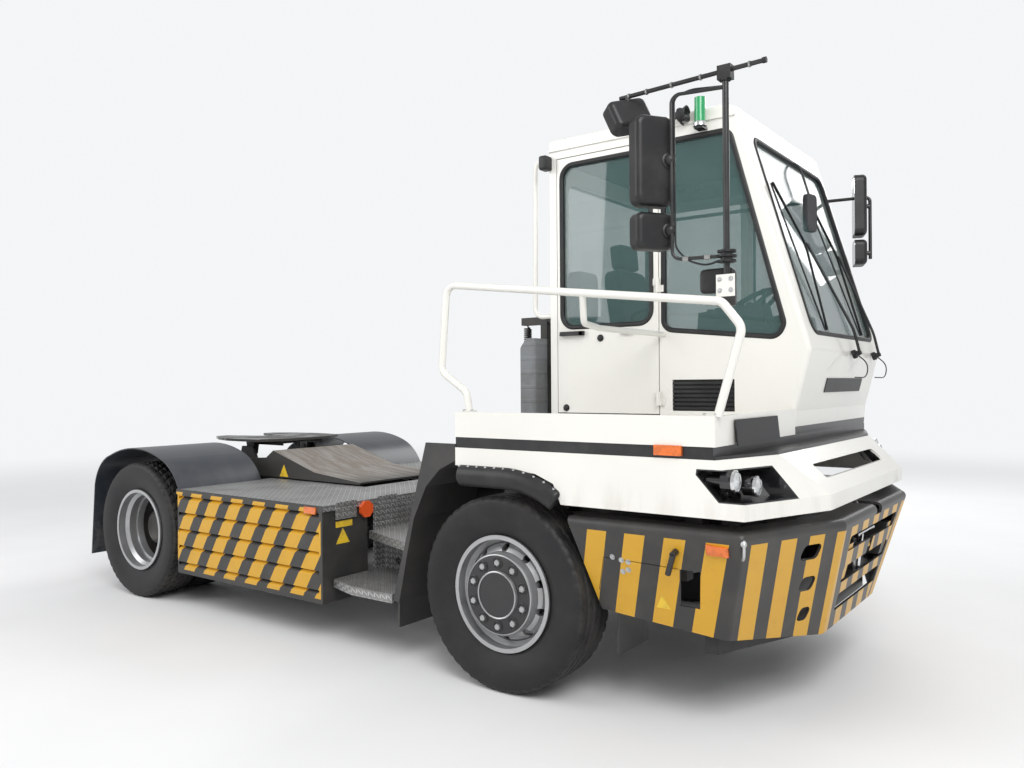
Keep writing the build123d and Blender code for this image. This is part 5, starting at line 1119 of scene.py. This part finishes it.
PLATE_FACE, HUB_FACE, NUT_RADIUS, NUT_COUNT = 1.229, 1.246, 0.163, 10
PLATE_PROFILE = [(0.200, 1.200), (0.200, 1.2275), (0.197, PLATE_FACE), (0.120, PLATE_FACE), (0.113, 1.240),
                 (0.0, 1.240)]
BULGE_SECTION = [(0.213, 1.150), (0.2125, 1.190), (0.209, 1.219), (0.204, 1.228), (0.199, 1.230),
                 (0.197, 1.200)]
CAP_RING_SECTION = [(0.113, 1.226), (0.113, HUB_FACE - 0.002), (0.117, HUB_FACE), (0.121, HUB_FACE - 0.002),
                    (0.123, 1.226)]
NUT_DISH = [(0.030, -0.002), (0.030, 0.003), (0.027, 0.005), (0.024, 0.003), (0.023, 0.0006), (0.0, 0.0006)]
NUT_PROFILE = [(0.017, 0), (0.017, 0.012), (0.012, 0.016), (0.0, 0.0165)]
for side_name, side in (("right", -1), ("left", 1)):
    outwards = (0, side, 0)
    plate = Shape().lathe(PLATE_PROFILE, (FRONT_AXLE_X, 0, AXLE_Z), outwards, 96)
    bright = Shape().hoop(turned(BULGE_SECTION, side, 96)).hoop(turned(CAP_RING_SECTION, side, 96))
    for angle in (np.arange(NUT_COUNT) + 0.5) * 2 * np.pi / NUT_COUNT:
        place = (FRONT_AXLE_X + NUT_RADIUS * math.cos(angle), side * PLATE_FACE,
                 AXLE_Z + NUT_RADIUS * math.sin(angle))
        plate.lathe(NUT_DISH, place, outwards, 28)
        bright.lathe(NUT_PROFILE, place, outwards, 6)
    plate.make("hub_plate_" + side_name, "hub_paint", "front_wheel_" + side_name)
    bright.make("hub_rings_" + side_name, "rim_paint", "front_wheel_" + side_name)

# %% [markdown]
# Headlamps: two round lenses stand in each bucket, each with a bright ring and a domed front. The
# beacon gets a bright foot, and a horn and a work lamp stand on the cab's right edge.

# %% Headlamps, beacon, horn and work lamp
LAMPS = ((1.256, 1.203, 1.150, 0.046), (1.307, 1.092, 1.123, 0.042))
lenses, rims, housings = Shape(), Shape(), Shape()
for side in (-1, 1):
    for x, y, z, radius in LAMPS:
        centre = (ahead(x), side * y, z)
        rims.lathe([(radius * 0.86, -0.010), (radius + 0.003, -0.012), (radius + 0.003, -0.004),
                    (radius * 0.93, 0.001), (radius * 0.86, -0.002)], centre, (1, 0, 0), 40)
        lenses.lathe([(radius * 0.88, -0.006), (radius * 0.88, -0.001), (radius * 0.62, 0.004),
                      (radius * 0.3, 0.0065), (0, 0.007)], centre, (1, 0, 0), 40)
        rims.lathe([(radius * 0.22, 0.0), (radius * 0.22, 0.008), (radius * 0.12, 0.010)],
                   centre, (1, 0, 0), 20)
lenses.make("headlamp_lenses", "clear_lens")
beacon = np.array((ahead(0.68), -0.245, 2.99))
rims.lathe([(0.038, 0), (0.038, 0.018), (0.0315, 0.026)], beacon, (0, 0, 1), 36)
rims.lathe([(0.020, 0), (0.020, 0.002), (0.012, 0.006)], beacon + (0, 0, 0.153), (0, 0, 1), 24)
rims.make("lamp_rims", "rod_chrome")
housings.lathe([(0.020, -0.02), (0.020, 0.0), (0.038, 0.004), (0.040, 0.016), (0.034, 0.034), (0.046, 0.056),
                (0.040, 0.056), (0.020, 0.030)], (ahead(0.545), -0.238, 3.08), (1, 0, 0), 32)
housings.bar([(ahead(0.561), y, z) for y, z in ((-0.238, 3.05), (-0.238, 3.035), (-0.200, 3.035))],
             0.007, 0.01)
housings.pillow((ahead(-0.362), -0.238, 2.955), (0.028, 0.040, 0.045))
housings.make("horn_and_work_lamp", "black_plastic")

# %% [markdown]
# The mirrors. A head's forward, along and up directions come from its turn and its tilt, so the
# glass is an outline on the along and up directions, behind the head. Ball joints, cable ties and
# the clamp's rubber rings are turned parts round the tubes.

# %% Mirrors
HEAD_DEPTH = 0.075
right_turn, left_turn = math.radians(-34), math.radians(20)
RIGHT_HEAD = (ahead(0.893), -1.2453)
LEFT_HEAD = (ahead(1.15), 1.345 - 0.095 * math.cos(left_turn) - 0.0375 * math.sin(left_turn))
MIRROR_HEADS = [((*RIGHT_HEAD, 2.55), 0.40, 0.19, HEAD_DEPTH, right_turn, 0.0),
                ((*RIGHT_HEAD, 2.24), 0.165, 0.19, HEAD_DEPTH, right_turn, 0.0),
                ((*LEFT_HEAD, 2.73), 0.40, 0.19, HEAD_DEPTH, left_turn, 0.0),
                ((*LEFT_HEAD, 2.42), 0.165, 0.19, HEAD_DEPTH, left_turn, 0.0),
                ((ahead(0.74), -1.1767, 2.80), 0.15, 0.20, 0.08, right_turn, math.radians(-25))]
mirror_panes, joints, ties = Shape(), Shape(), Shape()
for centre, height, width, depth, turn, tilt in MIRROR_HEADS:
    forward, along, up = facing(turn, tilt)
    corners = [(-width * 0.44, -height * 0.46), (width * 0.44, -height * 0.46), (width * 0.44, height * 0.46),
               (-width * 0.44, height * 0.46)]
    outline = rounded(corners, min(width, height) * 0.18)
    face = np.asarray(centre) - forward * (depth / 2)
    mirror_panes.plate(face + outline[:, :1] * along + outline[:, 1:] * up + forward * 0.002,
                       -forward * 0.004)
mirror_panes.make("mirror_panes", "mirror_glass")
forward, along, up = facing(right_turn, 0.0)
stub = np.array((*RIGHT_HEAD, 0)) + along * 0.06 + forward * (HEAD_DEPTH / 2)
for height in (2.55, 2.24):
    joints.pillow(stub + (0, 0, height) + forward * 0.012, (0.026, 0.026, 0.026), square=1.0)
    joints.lathe([(0.034, -0.001), (0.034, 0.004), (0.026, 0.008)], stub + (0, 0, height), forward, 28)
post = np.array((ahead(1.21), -1.1847, 0))
POST_RINGS = ((2.082, 2.092, 0.040), (2.104, 2.112, 0.043), (2.124, 2.134, 0.040), (2.855, 2.860, 0.022))
for low, high, radius in POST_RINGS:
    joints.lathe([(0.012, low), (radius, low), (radius, high), (0.012, high)], post, (0, 0, 1), 32)
joints.pillow((ahead(1.155), -1.148, 2.010), (0.078, 0.022, 0.054))
loop_foot = stub + forward * 0.026
joints.bar([(post[0] - 0.02, post[1], 2.096), (ahead(1.12), -1.193, 2.075),
            (ahead(1.05), loop_foot[1] + 0.012, 2.098),
            loop_foot + (0.012, 0.008, 2.16), loop_foot + (0.010, 0.006, 2.82), (ahead(1.06), -1.205, 2.846),
            (post[0], post[1] + 0.016, 2.84)], 0.0045, 0.03, 8)
joints.bar([(ahead(1.372), -1.1847, 2.9049), (ahead(1.388), -1.1847, 2.905)], 0.013)
joints.make("mirror_joints", "black_plastic")
arm_start, arm_end = np.array((ahead(1.385), -1.1847, 2.905)), np.array((ahead(0.70), -1.1847, 2.885))
for share in (0.10, 0.22, 0.42, 0.62, 0.80, 0.93):
    ties.lathe([(0.0135, -0.004), (0.0135, 0.004)], arm_start + (arm_end - arm_start) * share,
               arm_end - arm_start, 16)
for share in (0.35, 0.75):
    ties.lathe([(0.0115, -0.012), (0.0115, 0.012)],
               post + (0, 0, 2.11) + (loop_foot - post) * (share, share, 0), loop_foot - post, 16)
ties.make("mirror_ties", "bare_steel")

# %% [markdown]
# Plates and small things on the cab's white panels: the mirror post's plate with its four bolts,
# the door's latch and caps, the bolts of the handrail's feet and of the wheel arches. All plates
# are blank.

# %% Cab fittings
whites, blacks, silver = Shape(), Shape(), Shape()
whites.block((ahead(1.168), ahead(1.252)), (-1.2035, -1.2005), (1.935, 2.030))
for x in (1.185, 1.235):
    for z in (1.962, 2.010):
        silver.bolt((ahead(x), -1.2035, z), (0, -1, 0), 0.007, 0.006)
for x, z in ((-0.185, 1.435), (1.15, 1.435)):
    for shift in (-0.026, 0.026):
        silver.bolt((ahead(x + shift), -1.2326, z), (0, 0, 1), 0.006, 0.005)
ARCH_RADIUS, ARCH_CENTRE = 0.555, (0.06, 0.541)
BOLT_ARC = ARCH_RADIUS + 0.047
bolt_places = [(x, 1.143) for x in np.linspace(-0.225, 0.06, 6)]
bolt_places += [(ARCH_CENTRE[0] + BOLT_ARC * math.cos(angle), ARCH_CENTRE[1] + BOLT_ARC * math.sin(angle))
                for angle in np.radians((84, 78, 72, 66, 60))]
for side in (-1, 1):
    for x, z in bolt_places:
        silver.bolt((ahead(x), side * 1.2575, z), (0, side, 0), 0.0055, 0.005)
CAB_FOOT_SLOPE = (1.262 - 1.181) / (1.74 - 1.417)


def on_cab_front(y, z, height=0.0):
    """A point over the cab's lower front, which leans forward as it rises."""
    return np.array((ahead(1.181 + (z - 1.417) * CAB_FOOT_SLOPE) + height, y, z))


blacks.plate([on_cab_front(y, z) for y, z in ((0.21, 1.51), (0.96, 1.51), (0.96, 1.59), (0.21, 1.59))],
             (0.005, 0, 0))
blacks.plate([(ahead(1.196), -1.05, 1.29), (ahead(1.196), -0.50, 1.29), (ahead(1.184), -0.50, 1.405),
              (ahead(1.184), -1.05, 1.405)], (0.006, 0, 0))
for y in (-0.95, -0.60):
    blacks.block((ahead(1.177), ahead(1.19)), (y - 0.02, y + 0.02), (1.32, 1.38))
blacks.make("blank_plates", "black_plastic", bevel=0.002)
whites.make("post_plate", "cab_paint", bevel=0.001)
silver.make("body_bolts", "galvanised")
for side_name, y, out in CAB_SIDES:
    furniture = Shape()
    for rear, front, foot in ((-0.272, -0.104, 0.0115), (-0.272, -0.240, 0.0), (-0.134, -0.104, 0.0)):
        furniture.block((ahead(rear), ahead(front)), (y + out * foot, y + out * 0.0284), (1.866, 1.892))
    for x, z in ((0.007, 1.845), (-0.241, 1.42)):
        furniture.lathe([(0.022, -0.002), (0.022, 0.004), (0.016, 0.012), (0, 0.015)],
                        (ahead(x), y, z), (0, out, 0), 28)
    furniture.make("door_furniture_" + side_name, "black_plastic", "door_" + side_name, bevel=0.003)
    latch = Shape().block((ahead(0.15), ahead(0.24)), (y - out * 0.002, y + out * 0.016), (1.862, 1.892))
    latch.make("door_latch_" + side_name, "galvanised", "door_" + side_name, bevel=0.003)

# %% [markdown]
# Blank warning shapes: a yellow triangle on the bumper's side, one on the box's front end with a
# bar over it, and one on each side of the hood, which lifts with its frame.

# %% Blank triangles
signs = Shape()
side_plate(signs, -1, [(0.848, 0.548), (0.920, 0.548), (0.884, 0.612)], 0.0, 0.0012)
signs.plate([(BOX_FRONT, y, z) for y, z in ((-1.142, 0.60), (-1.033, 0.60), (-1.0875, 0.694))],
            (0.0015, 0, 0))
signs.block((BOX_FRONT, BOX_FRONT + 0.0015), (-1.144, -1.01), (0.70, 0.738))
signs.make("blank_signs", "sign_yellow")
hood_signs = Shape()
for side in (-1, 1):
    hood_signs.plate([(ahead(-2.771), side * 0.42, 0.862), (ahead(-2.665), side * 0.42, 0.862),
                      (ahead(-2.718), side * 0.42, 0.955)], (0, side * 0.0012, 0))
hood_signs.make("hood_signs", "sign_yellow", "lift_frame")

# %% [markdown]
# Inside the cab: a sprung seat with a cushion, a back and a headrest, a small folding seat on the
# rear wall, a dark ceiling, an overhead console along the left side with round vents, a grab bar
# under it, an instrument hood before the steering wheel and the driver's inner mirror. The soft
# pieces are superellipsoids, which are boxes with full round edges.

# %% Cab interior
SEAT_Y, SEAT_FLOOR = 0.525, 1.335


def cushion(name, centre, half, lean=0.0):
    """One stuffed piece of a seat, leaning back by an angle."""
    pad = Shape().pillow(centre, half, 0.0, lean, 0.28).make(name, "seat_cover", sharp=60)
    return pad


seat_pieces = [
    cushion("seat_cushion", (ahead(0.055), SEAT_Y, SEAT_FLOOR + 0.325), (0.25, 0.25, 0.072),
            math.radians(-4)),
    cushion("seat_back", (ahead(-0.172), SEAT_Y, SEAT_FLOOR + 0.69), (0.058, 0.235, 0.315), math.radians(-9)),
    cushion("seat_headrest", (ahead(-0.222), SEAT_Y, SEAT_FLOOR + 1.095), (0.045, 0.13, 0.085),
            math.radians(-6)),
]
seat_base = Shape()
for low, high, half in ((0, 0.03, 0.20), (0.03, 0.22, 0.15), (0.22, 0.262, 0.21)):
    seat_base.block((ahead(0.04 - half), ahead(0.04 + half)), (SEAT_Y - half * 0.95, SEAT_Y + half * 0.95),
                    (SEAT_FLOOR + low, SEAT_FLOOR + high))
for y in (SEAT_Y - 0.05, SEAT_Y + 0.05):
    seat_base.bar([(ahead(-0.205), y, SEAT_FLOOR + 0.94), (ahead(-0.222), y, SEAT_FLOOR + 1.06)], 0.007)
for y in (SEAT_Y - 0.27, SEAT_Y + 0.27):
    seat_base.bar([(ahead(-0.15), y, SEAT_FLOOR + 0.52), (ahead(0.10), y, SEAT_FLOOR + 0.53)],
                  0.028, 0, 14, flat=0.7)
    seat_base.block((ahead(-0.16), ahead(-0.10)), (min(y, y * 0.93), max(y, y * 0.93)),
                    (SEAT_FLOOR + 0.46, SEAT_FLOOR + 0.53))
seat_pieces.append(seat_base.make("seat_base", "cab_trim", bevel=0.006))
for seat_piece in seat_pieces:
    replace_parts(seat_piece, "seat")
cushion("folding_seat_back", (ahead(-0.268), 0.05, 2.13), (0.046, 0.13, 0.16))

trim, controls = Shape(), Shape()
padding = [(ahead(x), 3.012 + 0.004 * math.sin(i * 1.2)) for i, x in enumerate(np.linspace(-0.30, 0.80, 90))]
trim.grid(np.array([[(x, y, z) for x, z in padding] for y in (-0.15, 1.20)]))
trim.block((ahead(-0.305), ahead(0.80)), (0.90, 1.204), (2.845, 3.02))
trim.block((ahead(-0.305), ahead(0.82)), (-0.154, 0.90), (2.965, 3.0))
trim.bar([(ahead(x), y, 2.79) for x, y in ((-0.30, 1.206), (-0.29, 1.165), (0.84, 1.165), (0.85, 1.206))],
         0.013, 0.02)
HOOD = [(0.76, 1.80), (0.79, 1.93), (0.99, 1.975), (1.03, 1.80)]
SIDE_CONSOLE = [(0.60, 1.70), (0.62, 1.965), (0.98, 2.005), (1.04, 1.76)]
for outline, y, width in ((HOOD, 0.27, 0.51), (SIDE_CONSOLE, -0.153, 0.15)):
    trim.plate([(ahead(x), y, z) for x, z in outline], (0, width, 0))
trim.pillow((ahead(1.02), 0.60, 2.60), (0.022, 0.055, 0.115), math.radians(-12), 0.0)
trim.bar([(ahead(1.03), 0.60, 2.66), (ahead(0.96), 0.60, 2.90), (ahead(0.80), 0.60, 2.985)], 0.007, 0.04)
trim.make("cab_lining", "cab_trim", bevel=0.004)
for x in (-0.08, 0.03, 0.14):
    controls.lathe([(0.040, 0), (0.040, 0.006), (0.030, 0.008), (0.030, 0.003), (0.012, 0.003),
                    (0.010, 0.009)], (ahead(x), 0.90, 2.935), (0, -1, 0), 28)
controls.block((ahead(0.20), ahead(0.29)), (0.894, 0.901), (2.905, 2.965))
for index in range(6):
    controls.block((ahead(0.66 + index * 0.045), ahead(0.69 + index * 0.045)), (-0.12, -0.095),
                   (1.955 + index * 0.005, 1.985 + index * 0.005))
controls.lathe([(0.010, 0), (0.008, 0.14), (0.018, 0.15), (0.018, 0.175), (0.006, 0.185)],
               (ahead(0.52), 0.93, 1.66), (-0.2, 0, 1), 20)
controls.lathe([(0.013, 0), (0.010, 0.07), (0.016, 0.085), (0.010, 0.10)],
               (ahead(0.95), -0.02, 1.99), (0, 0, 1), 20)
controls.make("cab_controls", "black_plastic", bevel=0.001)

# %% [markdown]
# The floor is one large pale sheet under the tyres. It is staged, so it isn't part of the vehicle.

# %% Floor
floor_mesh = bpy.data.meshes.new("Floor")
floor_corners = [(x * FLOOR_SIZE, y * FLOOR_SIZE, 0.0) for x, y in ((-1, -1), (1, -1), (1, 1), (-1, 1))]
floor_mesh.from_pydata(floor_corners, [], [(0, 1, 2, 3)])
floor = bpy.data.objects.new("Floor", floor_mesh)
bpy.context.scene.collection.objects.link(floor)
floor_paint = Finish("floor_paint", Specular_IOR_Level=0.0)
pale = floor_paint.blend(floor_paint.noise(0.6, 4).ramp(0.3, 0.7), (0.80, 0.80, 0.80), (0.77, 0.77, 0.77))
far_off = (floor_paint.x * floor_paint.x + floor_paint.y * floor_paint.y).root().ramp(4.5, 17)
floor_paint.set(Base_Color=floor_paint.blend(far_off, pale, (0.0, 0.0, 0.0)), Roughness=0.7,
                Emission_Color=floor_paint.blend(far_off, (0.0, 0.0, 0.0), (0.90, 0.915, 0.93)),
                Emission_Strength=1.0)
floor_mesh.materials.append(floor_paint.material)
